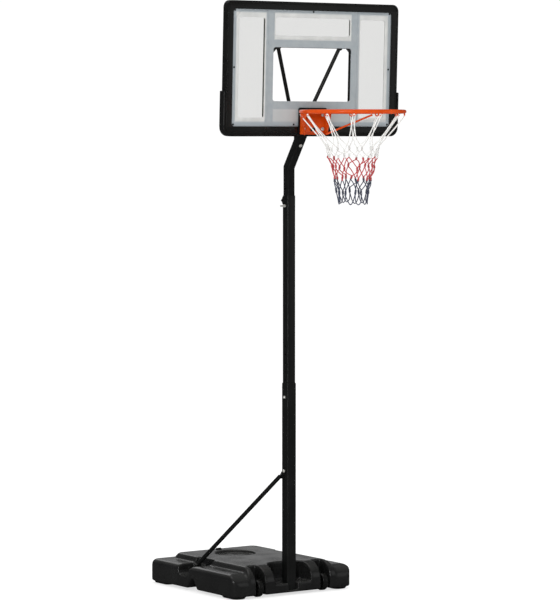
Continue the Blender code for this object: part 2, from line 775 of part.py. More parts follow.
def build_height_bolt(level, size, height, head_side, tail):
    """A bolt through both tubes, with its nut on the other side and a spare length of thread."""
    turn = FACE_RIGHT if head_side > 0 else FACE_LEFT
    back = FACE_LEFT if head_side > 0 else FACE_RIGHT
    face = size / 2 + GAP
    centre = Matrix.Translation((0, POLE_Y, height))
    fastener(
        f"height_bolt_{level}", centre @ turn @ Matrix.Translation((0, 0, face)),
        (0.0068, 0.005), BOLT_RADIUS, 2 * face, tail,
    )
    nut = centre @ back @ Matrix.Translation((0, 0, face))
    hexagon_nut(f"height_nut_{level}", nut, 0.013, 0.0065)


# ---- braces and struts ----------------------------------------------------------------------
def flat_end(name, hole, ahead, normal, radius, reach, thickness):
    """A tube's flattened end: a strip with a hole, lying against a surface with this normal."""
    along = (ahead - ahead.dot(normal) * normal).normalized()
    across = normal.cross(along)
    turn = Matrix((across, along, normal)).transposed().to_4x4()
    half = radius * 1.3
    strip = rectangle(-half, half, -half, reach, half * 0.9)
    return along, prism(
        name, [strip, circle(HOLE_RADIUS)], 0, thickness, Matrix.Translation(hole) @ turn, POLE_PAINT
    )


def build_strut(name, start, start_normal, end, end_normal, radius, reaches, thickness=0.003):
    """A round tube with two flattened ends that are bolted flat against their surfaces."""
    way = (end - start).normalized()
    along, first = flat_end(name + "_start", start, way, start_normal, radius, reaches[0], thickness)
    back, last = flat_end(name + "_end", end, -way, end_normal, radius, reaches[1], thickness)
    low = start + along * (reaches[0] - radius * 1.2) + start_normal * (radius + 0.0004)
    high = end + back * (reaches[1] - radius * 1.2) + end_normal * (radius + 0.0004)
    tube = rod(name, low, high, radius, POLE_PAINT, 14)
    join(tube, first, last)


def build_braces():
    for side, name in ((-1, "brace_left"), (1, "brace_right")):
        outward = Vector((side, 0, 0))
        top = Vector((side * (LOWER_SIZE / 2 + GAP), POLE_Y, BRACE_TOP_Z))
        foot = Vector((side * (BRACE_FOOT_X + GAP), BRACE_FOOT_Y, BRACE_FOOT_Z))
        build_strut(name, top, outward, foot, outward, BRACE_RADIUS, (0.045, 0.045))
        turn = FACE_RIGHT if side > 0 else FACE_LEFT
        head = Matrix.Translation(foot + outward * (0.003 + GAP)) @ turn
        fastener(f"brace_screw_{name[6:]}", head, (0.008, 0.004), 0.003, 0.019)
    face = LOWER_SIZE / 2 + 0.003 + 2 * GAP
    centre = Matrix.Translation((0, POLE_Y, BRACE_TOP_Z))
    head = centre @ FACE_LEFT @ Matrix.Translation((0, 0, face))
    fastener("brace_bolt", head, (0.0075, 0.005), BOLT_RADIUS, 2 * face, 0.009)
    hexagon_nut("brace_nut", centre @ FACE_RIGHT @ Matrix.Translation((0, 0, face)), 0.013, 0.0065)


def build_board_struts():
    centre, across = strut_bolt_axis()
    normal = (BOARD.to_3x3() @ Vector((0, 1, 0))).normalized()
    sheet = 0.0025
    for order, (side, name) in enumerate(((-1, "left"), (1, "right"))):
        lift = NECK_SIZE / 2 + GAP + order * (sheet + GAP)
        start = centre + across * lift
        end = BOARD @ Vector((side * STRUT_END_X, FRAME_BACK + GAP, STRUT_END_UP))
        build_strut(f"strut_{name}", start, across, end, normal, STRUT_RADIUS, (0.041, 0.028), sheet)
        back = FRAME_BACK + sheet + 2 * GAP
        head = BOARD @ Matrix.Translation((side * STRUT_END_X, back, STRUT_END_UP)) @ FACE_BACK
        fastener(f"strut_screw_{name}", head, (0.007, 0.004), BOLT_RADIUS, 0.018)
    turn = Vector((0, 0, 1)).rotation_difference(-across).to_matrix().to_4x4()
    head = Matrix.Translation(centre - across * (NECK_SIZE / 2 + GAP)) @ turn
    fastener("strut_bolt", head, (0.0085, 0.005), BOLT_RADIUS, NECK_SIZE + 0.018)
    nut_lift = NECK_SIZE / 2 + 2 * (sheet + GAP) + GAP
    turn = Vector((0, 0, 1)).rotation_difference(across).to_matrix().to_4x4()
    hexagon_nut("strut_nut", Matrix.Translation(centre + across * nut_lift) @ turn, 0.013, 0.0065)


# ---- backboard ------------------------------------------------------------------------------
def screw_places():
    """Nine places round the panel's edge: three along each side, one on top, two below."""
    side = FRAME_HALF_WIDTH - FRAME_BORDER - 0.0105
    low = FRAME_BOTTOM + FRAME_BORDER + 0.009
    high = FRAME_TOP - FRAME_BORDER - 0.0055
    places = [(x, y) for x in (-side, side) for y in (low, (low + high) / 2, high)]
    return places + [(0, high), (-0.1, low), (0.1, low)]


def pane_rectangles():
    """The three clear fields: name, left, right, bottom, top."""
    return [
        ("pane_left", -0.412, -0.268, -0.0265, 0.4275),
        ("pane_right", 0.268, 0.412, -0.0265, 0.4275),
        ("pane_top", -0.211, 0.211, 0.349, 0.430),
    ]


def frame_outline(grow, corner):
    half = FRAME_HALF_WIDTH + grow
    return rectangle(-half, half, FRAME_BOTTOM - grow, FRAME_TOP + grow, corner, 6)


def build_backboard_frame():
    border = FRAME_BORDER
    frame = board_prism(
        "backboard_frame", [frame_outline(0, FRAME_CORNER), frame_outline(-border, 0.014)],
        FRAME_FRONT, FRAME_BACK, BLACK_PLASTIC,
    )
    ledge = board_prism(
        "frame_ledge", [frame_outline(-0.006, 0.025), frame_outline(-border - 0.018, 0.008)],
        PANEL_THICKNESS + GAP, 0.010, BLACK_PLASTIC,
    )
    groove = board_prism(
        "panel_groove", [frame_outline(-border + PANEL_LIP, 0.018)],
        -GAP, PANEL_THICKNESS + GAP, BLACK_PLASTIC,
    )
    join(frame, ledge)
    cut(frame, groove)
    for index, (x, y) in enumerate(screw_places()):
        cut(frame, board_rod(f"screw_hole_{index}", x, y, -0.01, 0.0095, 0.0021))
    for x in (-RIM_BOLT_X, RIM_BOLT_X):
        cut(frame, board_rod(f"frame_bolt_hole_{x}", x, RIM_BOLT_LOW, -0.02, 0.03, HOLE_RADIUS))


def board_rod(name, x, y, front, back, radius):
    """A round cutter across the backboard at (x, y) in its plane."""
    return board_prism(name, [circle(radius, x, y)], front, back, BLACK_PLASTIC)


def build_panel():
    window = rectangle(
        -WINDOW_HALF_WIDTH, WINDOW_HALF_WIDTH, WINDOW_BOTTOM, WINDOW_TOP, 0.012
    )
    loops = [frame_outline(-FRAME_BORDER + PANEL_LIP - GAP, 0.018), window]
    for name, left, right, bottom, top in pane_rectangles():
        loops.append(rectangle(left, right, bottom, top, 0.012))
    loops += [circle(0.0024, x, y, 8) for x, y in screw_places()]
    loops += [circle(HOLE_RADIUS, x, RIM_BOLT_HIGH) for x in (-RIM_BOLT_X, RIM_BOLT_X)]
    panel = board_prism("backboard_panel", loops, 0, PANEL_THICKNESS, PANEL_PLASTIC)
    for x in (-RIM_BOLT_X, RIM_BOLT_X):
        cut(panel, board_rod(f"panel_bolt_notch_{x}", x, RIM_BOLT_LOW, -0.02, 0.03, 0.006))


def build_panes():
    for name, left, right, bottom, top in pane_rectangles():
        loop = rectangle(left + GAP, right - GAP, bottom + GAP, top - GAP, 0.012 - GAP)
        board_prism(name, [loop], 0.0005, 0.0035, PANE_PLASTIC)


def build_panel_screws():
    for index, (x, y) in enumerate(screw_places()):
        place = BOARD @ Matrix.Translation((x, -GAP, y)) @ FACE_FRONT
        screw = fastener(f"panel_screw_{index + 1}", place, (0.0045, 0.0025), 0.0018, 0.008, steps=8)
        screw.data.materials[0] = BLACK_PLASTIC


def build_rear_frame():
    """Two uprights, two cross bars and two small corner plates, welded into one frame."""
    front = PANEL_THICKNESS + GAP
    low = FRAME_BOTTOM + FRAME_BORDER + 0.019
    high = FRAME_TOP - FRAME_BORDER - 0.019
    outer = WINDOW_HALF_WIDTH + REAR_TUBE
    bars = [
        (-outer, -WINDOW_HALF_WIDTH, low, high),
        (WINDOW_HALF_WIDTH, outer, low, high),
        (-outer, outer, REAR_BAR_LOW, REAR_BAR_HIGH),
        (-outer, outer, RIM_BOLT_HIGH - 0.011, RIM_BOLT_HIGH + 0.011),
    ]
    pieces = [
        board_prism(f"rear_bar_{index}", [rectangle(*bar)], front, FRAME_BACK, POLE_PAINT)
        for index, bar in enumerate(bars)
    ]
    frame = pieces[0]
    frame.name = "rear_frame"
    join(frame, pieces[2], pieces[1], pieces[3])
    for side in (-1, 1):
        corner = (side * (WINDOW_HALF_WIDTH + 0.001), REAR_BAR_LOW + 0.001)
        along = (corner[0] - side * REAR_GUSSET, corner[1])
        down = (corner[0], corner[1] - REAR_GUSSET)
        join(frame, board_prism(f"rear_gusset_{side}", [[corner, along, down]], front, 0.008, POLE_PAINT))
        x = side * RIM_BOLT_X
        cut(frame, board_rod(f"rear_bolt_hole_{side}", x, RIM_BOLT_HIGH, -0.02, 0.03, HOLE_RADIUS))
        x = side * STRUT_END_X
        cut(frame, board_rod(f"rear_screw_hole_{side}", x, STRUT_END_UP, 0.005, 0.03, HOLE_RADIUS))


def build_bottom_guard():
    """A soft bumper strip round the frame's bottom edge and lower corners."""
    outer = rectangle(-GUARD_HALF_WIDTH, GUARD_HALF_WIDTH, GUARD_BOTTOM, 0.3, 0.042, 6)
    inner = frame_outline(GAP, FRAME_CORNER)
    guard = board_prism("bottom_guard", [outer], -0.010, FRAME_BACK + 0.004, RUBBER)
    hollow = board_prism("guard_hollow", [inner], -0.05, 0.05, RUBBER)
    trim = board_prism("guard_trim", [rectangle(-0.6, 0.6, GUARD_TOP, 0.5)], -0.05, 0.05, RUBBER)
    cut(guard, hollow, trim)


# ---- rim ------------------------------------------------------------------------------------
def build_mounting_pad():
    holes = [circle(HOLE_RADIUS, x, y) for x in (-RIM_BOLT_X, RIM_BOLT_X) for y in RIM_BOLT_ROWS]
    outline = rectangle(-0.079, 0.079, -0.1045, 0.020, 0.008)
    board_prism("mounting_pad", [outline, *holes], PAD_FRONT, FRAME_FRONT - GAP, RUBBER)


def build_rim_bracket():
    half = BRACKET_HALF_WIDTH
    holes = [circle(HOLE_RADIUS, x, y) for x in (-RIM_BOLT_X, RIM_BOLT_X) for y in RIM_BOLT_ROWS]
    slot = rectangle(-0.014, 0.014, -0.0885, -0.0705, 0.004)
    bracket = board_prism(
        "rim_bracket", [rectangle(-half, half, BRACKET_BOTTOM, RIM_WIRE, 0.003), *holes, slot],
        BRACKET_FRONT, BRACKET_BACK, RIM_PAINT,
    )
    back = BRACKET_FRONT + 0.0005
    reach = -(RIM_FORWARD - BOARD_FORWARD - RIM_RADIUS - RIM_WIRE - GAP)
    shelf = [(-half, back), (half, back), (half, reach * 0.82), (0.045, reach), (-0.045, reach)]
    shelf.append((-half, reach * 0.82))
    thick = BRACKET_SHEET
    join(bracket, prism("rim_shelf", [shelf], RIM_WIRE - thick, RIM_WIRE, BOARD, RIM_PAINT))
    lip = [(-half, back), (half, back), (half, back - LIP_DEPTH), (-half, back - LIP_DEPTH)]
    low = BRACKET_BOTTOM
    join(bracket, prism("rim_lip", [lip], low, low + thick, BOARD, RIM_PAINT))
    side_view = [(back, low), (back, RIM_WIRE), (reach * 0.82, RIM_WIRE), (back - LIP_DEPTH, low)]
    turn = Matrix.Rotation(math.radians(90), 4, "Z") @ FACE_FRONT
    for side in (-1, 1):
        edges = sorted((side * half, side * (half - thick)))
        join(bracket, prism(f"rim_gusset_{side}", [side_view], *edges, BOARD @ turn, RIM_PAINT))


def build_rim_ring():
    bpy.ops.mesh.primitive_torus_add(
        major_radius=RIM_RADIUS, minor_radius=RIM_WIRE, major_segments=40, minor_segments=8
    )
    ring = bpy.context.object
    ring.name = "rim_ring"
    for collection in list(ring.users_collection):
        collection.objects.unlink(ring)
    HOOP.objects.link(ring)
    ring.matrix_world = RIM_CENTRE
    ring.data.materials.append(RIM_PAINT)
    smooth(ring.data, 60)
    for index in range(HOOK_COUNT):
        turn = HOOK_TURN + 2 * math.pi * index / HOOK_COUNT
        place = RIM_CENTRE @ Matrix.Rotation(turn, 4, "Z") @ Matrix.Translation((RIM_RADIUS, 0, 0))
        outline = [(-0.014, -0.0045), (0.014, -0.0045), (0.003, -0.022), (-0.003, -0.022)]
        eye = [(-0.0060, -0.0108), (0.0060, -0.0108), (0.0, -0.018)]
        hook = prism(
            f"hook_{index}", [outline, eye], -0.0018, 0.0018,
            place @ Matrix.Rotation(math.radians(90), 4, "Z") @ FACE_FRONT, RIM_PAINT,
        )
        join(ring, hook)


def build_rim_rods():
    """Two rods run under the ring from the bracket's lower lip."""
    depth = BRACKET_FRONT - LIP_DEPTH - 0.0035
    for side, turn, name in ((-1, LEFT_ROD_TURN, "rim_rod_left"), (1, RIGHT_ROD_TURN, "rim_rod_right")):
        low = BOARD @ Vector((side * 0.060, depth, BRACKET_BOTTOM + 0.0015))
        x = RIM_RADIUS * math.cos(turn)
        y = RIM_RADIUS * math.sin(turn)
        high = RIM_CENTRE @ Vector((x, y, -RIM_WIRE - ROD_RADIUS - 0.001))
        way = (high - low).normalized()
        rod(name, low, high + way * 0.004, ROD_RADIUS, RIM_PAINT)


def build_rim_bolts():
    for index, (x, y) in enumerate((x, y) for x in (-RIM_BOLT_X, RIM_BOLT_X) for y in RIM_BOLT_ROWS):
        place = BOARD @ Matrix.Translation((x, BRACKET_FRONT - GAP, y)) @ FACE_FRONT
        fastener(f"rim_bolt_{index + 1}", place, (0.009, 0.0045), BOLT_RADIUS, 0.048)


def build_net():
    """The net's envelope: an open-ended tapering shell that hangs under the rim's hooks."""
    steps = [(0.220, -0.024), (0.165, -0.12), (0.112, -0.21), (0.086, -0.31), (0.070, -0.42)]
    sheet = 0.003
    outer = [(radius, height) for radius, height in steps]
    inner = [(radius - sheet, height) for radius, height in reversed(steps)]
    turned("net", outer + inner, RIM_CENTRE, NET_CORD, 24, closed=True)


# ---- the whole object -----------------------------------------------------------------------
def build():
    build_tank()
    build_ballast()
    build_filler()
    for side, name in ((-1, "left"), (1, "right")):
        build_wheel(f"wheel_{name}", side)
        build_axle(f"axle_{name}", side)
    build_pole_lower()
    build_pole_foot()
    build_pole_middle()
    build_pole_neck()
    build_knob("lower", LOWER_SIZE, MIDDLE_SIZE, LOWER_TOP - KNOB_DROP, LOWER_KNOB_RADIUS)
    build_knob("upper", MIDDLE_SIZE, NECK_SIZE, MIDDLE_TOP - KNOB_DROP, UPPER_KNOB_RADIUS)
    build_height_bolt("lower", LOWER_SIZE, LOWER_BOLT_Z, -1, 0.009)
    build_height_bolt("upper", MIDDLE_SIZE, UPPER_BOLT_Z, 1, 0.026)
    build_braces()
    build_board_struts()
    build_backboard_frame()
    build_panel()
    build_panes()
    build_panel_screws()
    build_rear_frame()
    build_bottom_guard()
    build_mounting_pad()
    build_rim_bracket()
    build_rim_ring()
    build_rim_rods()
    build_rim_bolts()
    build_net()


build()
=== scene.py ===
"""Looks of a portable basketball hoop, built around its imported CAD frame."""

import math
import random

import bmesh
import bpy
import numpy as np
from mathutils import Matrix, Vector


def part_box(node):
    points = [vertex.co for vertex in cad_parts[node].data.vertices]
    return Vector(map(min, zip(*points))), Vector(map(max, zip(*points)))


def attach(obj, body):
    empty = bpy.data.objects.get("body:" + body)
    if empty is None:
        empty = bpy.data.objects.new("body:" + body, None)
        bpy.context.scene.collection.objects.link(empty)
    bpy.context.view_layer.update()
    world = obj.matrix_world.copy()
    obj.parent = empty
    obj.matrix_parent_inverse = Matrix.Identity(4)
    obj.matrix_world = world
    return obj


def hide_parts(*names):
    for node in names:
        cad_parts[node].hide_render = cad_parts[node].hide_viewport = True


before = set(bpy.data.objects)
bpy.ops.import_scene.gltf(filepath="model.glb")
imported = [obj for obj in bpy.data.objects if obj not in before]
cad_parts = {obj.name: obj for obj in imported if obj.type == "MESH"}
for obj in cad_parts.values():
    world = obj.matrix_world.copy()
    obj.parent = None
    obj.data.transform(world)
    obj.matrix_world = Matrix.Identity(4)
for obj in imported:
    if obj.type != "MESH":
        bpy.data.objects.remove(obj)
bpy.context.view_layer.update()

# ---- places, from the frame ------------------------------------------------------------------
POLE_HALF = 0.025
POLE_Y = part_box("pole_lower")[0].y + POLE_HALF
RING_LOW, RING_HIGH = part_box("rim_ring")
RIM_WIRE = 0.009
RIM_RADIUS = (RING_HIGH.x - RING_LOW.x) / 2 - RIM_WIRE
RIM_Z = RING_HIGH.z - RIM_WIRE
RIM_CENTRE = Vector((0, (RING_LOW.y + RING_HIGH.y) / 2, RIM_Z))
HOOK_COUNT = 12
HOOK_TURN = math.radians(25)
HOOK_DROP = 0.0138

BOARD_FORWARD = 0.18
BOARD_TILT = math.radians(2)
BOARD = Matrix.Translation((0, POLE_Y - BOARD_FORWARD, RIM_Z)) @ Matrix.Rotation(BOARD_TILT, 4, "X")
BOARD_PLANE = BOARD @ Matrix.Rotation(math.radians(90), 4, "X")

FRAME_HALF = 0.485
FRAME_LOW = -0.105
FRAME_HIGH = 0.503
FRAME_BORDER = 0.0385
WINDOW = (-0.220, 0.220, 0.049, 0.295)
SIDE_FIELD = (0.268, 0.412, -0.0265, 0.4275)
TOP_FIELD = (-0.211, 0.211, 0.349, 0.430)

MERGE_DISTANCE = 0.00001
CREASE_ANGLE = math.radians(38)


# ---- material helpers ------------------------------------------------------------------------
class Finish:
    """One procedural material and short calls for the nodes in it."""

    def __init__(self, name):
        self.material = bpy.data.materials.new(name)
        self.material.use_nodes = True
        self.tree = self.material.node_tree
        self.shader = self.tree.nodes["Principled BSDF"]
        self.place = self.node("TexCoord").outputs["Object"]

    def node(self, kind, settings=None, **values):
        made = self.tree.nodes.new("ShaderNode" + kind)
        for key, value in (settings or {}).items():
            setattr(made, key, value)
        for key, value in values.items():
            self.feed(made.inputs[key], value)
        return made

    def feed(self, socket, value):
        if isinstance(value, bpy.types.NodeSocket):
            self.tree.links.new(value, socket)
        elif socket.type == "RGBA":
            socket.default_value = (*value, 1.0)
        else:
            socket.default_value = value

    def set(self, **values):
        for key, value in values.items():
            self.feed(self.shader.inputs[key.replace("_", " ")], value)

    def noise(self, scale, detail=3.0, stretch=(1, 1, 1)):
        place = self.node("Mapping", Vector=self.place, Scale=stretch).outputs["Vector"]
        return self.node("TexNoise", Vector=place, Scale=scale, Detail=detail).outputs["Fac"]

    def spread(self, value, low, high, to_low=0.0, to_high=1.0):
        """The value, with low to high stretched over to_low to to_high, and held outside."""
        made = self.node("MapRange", {"interpolation_type": "SMOOTHSTEP"}, Value=value)
        for key, number in (
            ("From Min", low), ("From Max", high), ("To Min", to_low), ("To Max", to_high)
        ):
            made.inputs[key].default_value = number
        return made.outputs["Result"]

    def maths(self, operation, first, second=0.0):
        made = self.node("Math", {"operation": operation})
        self.feed(made.inputs[0], first)
        self.feed(made.inputs[1], second)
        return made.outputs["Value"]

    def mix(self, share, first, second):
        made = self.node("Mix", {"data_type": "RGBA"})
        self.feed(made.inputs["Factor"], share)
        self.feed(made.inputs[6], first)
        self.feed(made.inputs[7], second)
        return made.outputs[2]

    def edges(self, radius, low=0.01, high=0.12):
        """Near one on sharp outer edges and near zero on flats."""
        soft = self.node("Bevel", {"samples": 4}, Radius=radius).outputs["Normal"]
        plain = self.node("NewGeometry").outputs["Normal"]
        made = self.node("VectorMath", {"operation": "DOT_PRODUCT"})
        self.feed(made.inputs[0], soft)
        self.feed(made.inputs[1], plain)
        return self.spread(self.maths("SUBTRACT", 1.0, made.outputs["Value"]), low, high)

    def facing_up(self):
        normal = self.node("NewGeometry").outputs["Normal"]
        height = self.node("SeparateXYZ", Vector=normal).outputs["Z"]
        return self.spread(height, 0.3, 1.0)

    def bump(self, height, distance, strength=0.5, under=None):
        made = self.node("Bump", Height=height, Distance=distance, Strength=strength)
        if under is not None:
            self.feed(made.inputs["Normal"], under)
        return made.outputs["Normal"]


def black_finish(name, colour, dust_wear_and_top_light, roughness, grain, grain_depth, metallic=0.0, wear=0.25):
    """Painted steel or moulded plastic: near black, with patchy sheen, rubbed edges, and upward faces
    lightened by dust and by painted top light.
    """
    made = Finish(name)
    patches = made.noise(9.0, 4.0)
    speckle = made.noise(160.0, 2.0)
    rubbed = made.maths("MULTIPLY", made.edges(0.0015), made.spread(made.noise(40.0), 0.35, 0.7))
    lifted = tuple(part * 1.35 + 0.001 for part in colour)
    base = made.mix(made.spread(patches, 0.3, 0.75), colour, lifted)
    # Painted top light and dust: upward faces are mixed towards the light colour.
    dust_and_top_light = made.maths("MULTIPLY", made.facing_up(), made.spread(made.noise(8.0, 4.0), 0.2, 0.9, 0.4, 1.0))
    base = made.mix(made.maths("MULTIPLY", dust_and_top_light, 0.35), base, dust_wear_and_top_light)
    base = made.mix(made.maths("MULTIPLY", rubbed, wear), base, dust_wear_and_top_light)
    made.set(Base_Color=base, Metallic=metallic)
    made.set(Roughness=made.spread(patches, 0.25, 0.8, roughness - 0.06, roughness + 0.1))
    made.set(Specular_IOR_Level=0.34)
    skin = made.bump(made.noise(grain, 3.0), grain_depth, 0.5)
    made.set(Normal=made.bump(speckle, grain_depth, 0.3, skin))
    return made


# ---- materials -------------------------------------------------------------------------------
def tank_finish():
    # The light colour lightens upward faces as dust and painted top light, and rubbed edges as wear.
    made = black_finish(
        "tank_moulded", (0.0062, 0.0063, 0.0062), (0.092, 0.092, 0.087), 0.20, 260.0, 0.00006, wear=0.10
    )
    made.set(IOR=1.42, Specular_IOR_Level=0.5)
    return made.material


def pole_finish():
    made = black_finish(
        "pole_powder_coat", (0.0036, 0.0039, 0.0037), (0.026, 0.026, 0.024), 0.32, 420.0, 0.0001
    )
    made.set(Coat_Weight=0.15, Coat_Roughness=0.25, IOR=1.40)
    return made.material


def plastic_finish():
    made = black_finish(
        "moulded_black", (0.0042, 0.0043, 0.0040), (0.026, 0.026, 0.024), 0.28, 300.0, 0.0001
    )
    made.set(IOR=1.43)
    return made.material


def rubber_finish():
    made = black_finish(
        "bumper_rubber", (0.0042, 0.0042, 0.0042), (0.024, 0.024, 0.023), 0.34, 220.0, 0.0004
    )
    made.set(IOR=1.42)
    return made.material


def screw_finish():
    made = black_finish("black_zinc", (0.008, 0.008, 0.008), (0.05, 0.05, 0.05), 0.36, 500.0, 0.0001, 0.6)
    return made.material


def zinc_finish():
    made = Finish("bright_zinc")
    cloud = made.noise(120.0, 4.0)
    tint = made.mix(made.spread(cloud, 0.35, 0.7), (0.60, 0.60, 0.57), (0.42, 0.42, 0.39))
    stain = made.mix(made.spread(made.noise(45.0, 5.0), 0.55, 0.8, 0.0, 0.5), tint, (0.30, 0.27, 0.21))
    made.set(Base_Color=stain, Metallic=0.45, Roughness=made.spread(cloud, 0.2, 0.8, 0.26, 0.42))
    made.set(Normal=made.bump(made.noise(900.0, 2.0, (1, 1, 0.15)), 0.0001, 0.4))
    return made.material


def rim_finish():
    made = Finish("rim_powder_coat")
    patches = made.noise(16.0, 4.0)
    base = made.mix(made.spread(patches, 0.3, 0.75), (0.49, 0.048, 0.002), (0.56, 0.062, 0.004))
    worn = made.maths("MULTIPLY", made.edges(0.0012), made.spread(made.noise(60.0), 0.45, 0.75))
    base = made.mix(made.maths("MULTIPLY", worn, 0.3), base, (0.30, 0.06, 0.02))
    made.set(Base_Color=base, Roughness=made.spread(patches, 0.2, 0.8, 0.17, 0.26))
    made.set(Specular_IOR_Level=0.24)
    made.set(Normal=made.bump(made.noise(380.0, 2.0), 0.0002, 0.4))
    return made.material


def board_place(made):
    """Where a point lies on the board: sideways, up, and behind its face."""
    undo = BOARD.inverted()
    turned = made.node("VectorRotate", {"rotation_type": "X_AXIS"}, Vector=made.place)
    turned.inputs["Angle"].default_value = -BOARD_TILT
    shift = made.node("VectorMath", {"operation": "ADD"})
    made.feed(shift.inputs[0], turned.outputs["Vector"])
    made.feed(shift.inputs[1], undo.translation)
    return made.node("SeparateXYZ", Vector=shift.outputs["Vector"]).outputs


def within(made, value, low, high, soft):
    """One between low and high, fading over soft outside them."""
    rise = made.spread(value, low - soft, low)
    fall = made.spread(value, high, high + soft, 1.0, 0.0)
    return made.maths("MULTIPLY", rise, fall)


def panel_finish():
    """Milky sheet: darker where the rear frame and the frame's ledge lie close behind it."""
    made = Finish("panel_moulded")
    place = board_place(made)
    side = made.maths("ABSOLUTE", place["X"])
    up = place["Z"]
    uprights = within(made, side, 0.220, 0.260, 0.006)
    middle = made.spread(side, 0.222, 0.232, 1.0, 0.0)
    over_window = within(made, up, 0.292, 0.326, 0.007)
    under_window = within(made, up, 0.016, 0.046, 0.009)
    cross = made.maths("MAXIMUM", over_window, under_window)
    dark = made.maths("MAXIMUM", uprights, made.maths("MULTIPLY", cross, middle))
    edge = made.maths("MAXIMUM", made.spread(side, 0.424, 0.432), made.spread(up, 0.446, 0.456))
    edge = made.maths("MAXIMUM", edge, made.spread(up, -0.050, -0.040, 1.0, 0.0))
    lower = made.maths("MULTIPLY", made.spread(up, 0.0, 0.03, 1.0, 0.0), middle)
    cloud = made.noise(26.0, 5.0, (1, 1, 0.6))
    milk = made.mix(made.spread(cloud, 0.3, 0.75), (0.470, 0.475, 0.465), (0.540, 0.545, 0.530))
    base = made.mix(made.maths("MULTIPLY", lower, 0.75), milk, (0.335, 0.345, 0.350))
    base = made.mix(made.maths("MULTIPLY", edge, 0.95), base, (0.272, 0.305, 0.325))
    streak = made.spread(made.noise(30.0, 4.0), 0.35, 0.7, 0.88, 1.0)
    base = made.mix(made.maths("MULTIPLY", dark, streak), base, (0.270, 0.300, 0.318))
    made.set(Base_Color=base, Roughness=made.spread(cloud, 0.2, 0.8, 0.30, 0.44))
    made.set(Subsurface_Weight=0.08, Subsurface_Radius=(0.004, 0.004, 0.005))
    ripple = made.bump(made.noise(70.0, 3.0), 0.0012, 0.35)
    made.set(Normal=made.bump(made.noise(420.0, 2.0), 0.0002, 0.4, ripple))
    return made.material


PANE_HAZE = 0.165


def pane_finish():
    """Frosted field with the fine cross-woven grain of its printed back."""
    made = Finish("pane_frosted")
    place = board_place(made)
    count = 2 * math.pi / 0.0045
    across = made.maths("SINE", made.maths("MULTIPLY", place["X"], count))
    upward = made.maths("SINE", made.maths("MULTIPLY", place["Z"], count))
    weave = made.maths("MULTIPLY", across, upward)
    cloud = made.noise(7.0, 4.0)
    base = made.mix(made.spread(cloud, 0.3, 0.75), (0.085, 0.088, 0.060), (0.110, 0.113, 0.082))
    base = made.mix(made.spread(weave, -1.0, 1.0, 0.0, 0.3), base, (0.05, 0.05, 0.04))
    made.set(Base_Color=base, Roughness=made.spread(cloud, 0.2, 0.8, 0.22, 0.34), Alpha=PANE_HAZE)
    made.set(Normal=made.bump(weave, 0.0002, 0.25))
    return made.material


def cord_finish():
    """Laid cord: white above, then red, then navy, with its strands wound round it and painted shade in the
    grooves between them.
    """
    made = Finish("net_cord_three_colours")
    height = made.node("SeparateXYZ", Vector=made.place).outputs["Z"]
    wobble = made.spread(made.noise(24.0, 2.0), 0.3, 0.7, -0.006, 0.006)
    height = made.maths("ADD", height, wobble)
    lay = made.node("Attribute", {"attribute_name": "lay"}).outputs["Vector"]
    lay = made.node("SeparateXYZ", Vector=lay).outputs
    turn = made.maths("MULTIPLY", lay["Z"], 2 * math.pi / 0.006)
    strands = made.maths(
        "ADD",
        made.maths("MULTIPLY", lay["X"], made.maths("COSINE", turn)),
        made.maths("MULTIPLY", lay["Y"], made.maths("SINE", turn)),
    )
    groove = made.spread(strands, -1.0, 0.2)
    red = made.spread(height, RIM_Z - NET_RED - 0.002, RIM_Z - NET_RED + 0.002)
    navy = made.spread(height, RIM_Z - NET_NAVY - 0.002, RIM_Z - NET_NAVY + 0.002)
    fuzz = made.noise(300.0, 4.0)
    white = made.mix(made.spread(fuzz, 0.3, 0.7), (0.74, 0.74, 0.71), (0.86, 0.86, 0.84))
    crimson = made.mix(made.spread(fuzz, 0.3, 0.7), (0.42, 0.016, 0.022), (0.58, 0.035, 0.040))
    deep = made.mix(made.spread(fuzz, 0.3, 0.7), (0.014, 0.022, 0.055), (0.030, 0.044, 0.095))
    base = made.mix(navy, deep, made.mix(red, crimson, white))
    # Painted shade: the grooves between the strands are mixed towards near black.
    base = made.mix(made.maths("SUBTRACT", 1.0, groove), base, made.mix(0.45, base, (0.02, 0.02, 0.02)))
    made.set(Base_Color=base, Roughness=0.82, Sheen_Weight=0.35, Sheen_Roughness=0.45)
    made.set(Normal=made.bump(fuzz, 0.0003, 0.35, made.bump(groove, 0.0008, 0.8)))
    return made.material


def water_finish():
    made = Finish("ballast_water")
    ripple = made.noise(20.0, 3.0)
    base = made.mix(ripple, (0.40, 0.55, 0.62), (0.55, 0.68, 0.74))
    made.set(Base_Color=base, Roughness=0.08, Transmission_Weight=0.9, IOR=1.33)
    made.set(Normal=made.bump(ripple, 0.002, 0.3))
    return made.material


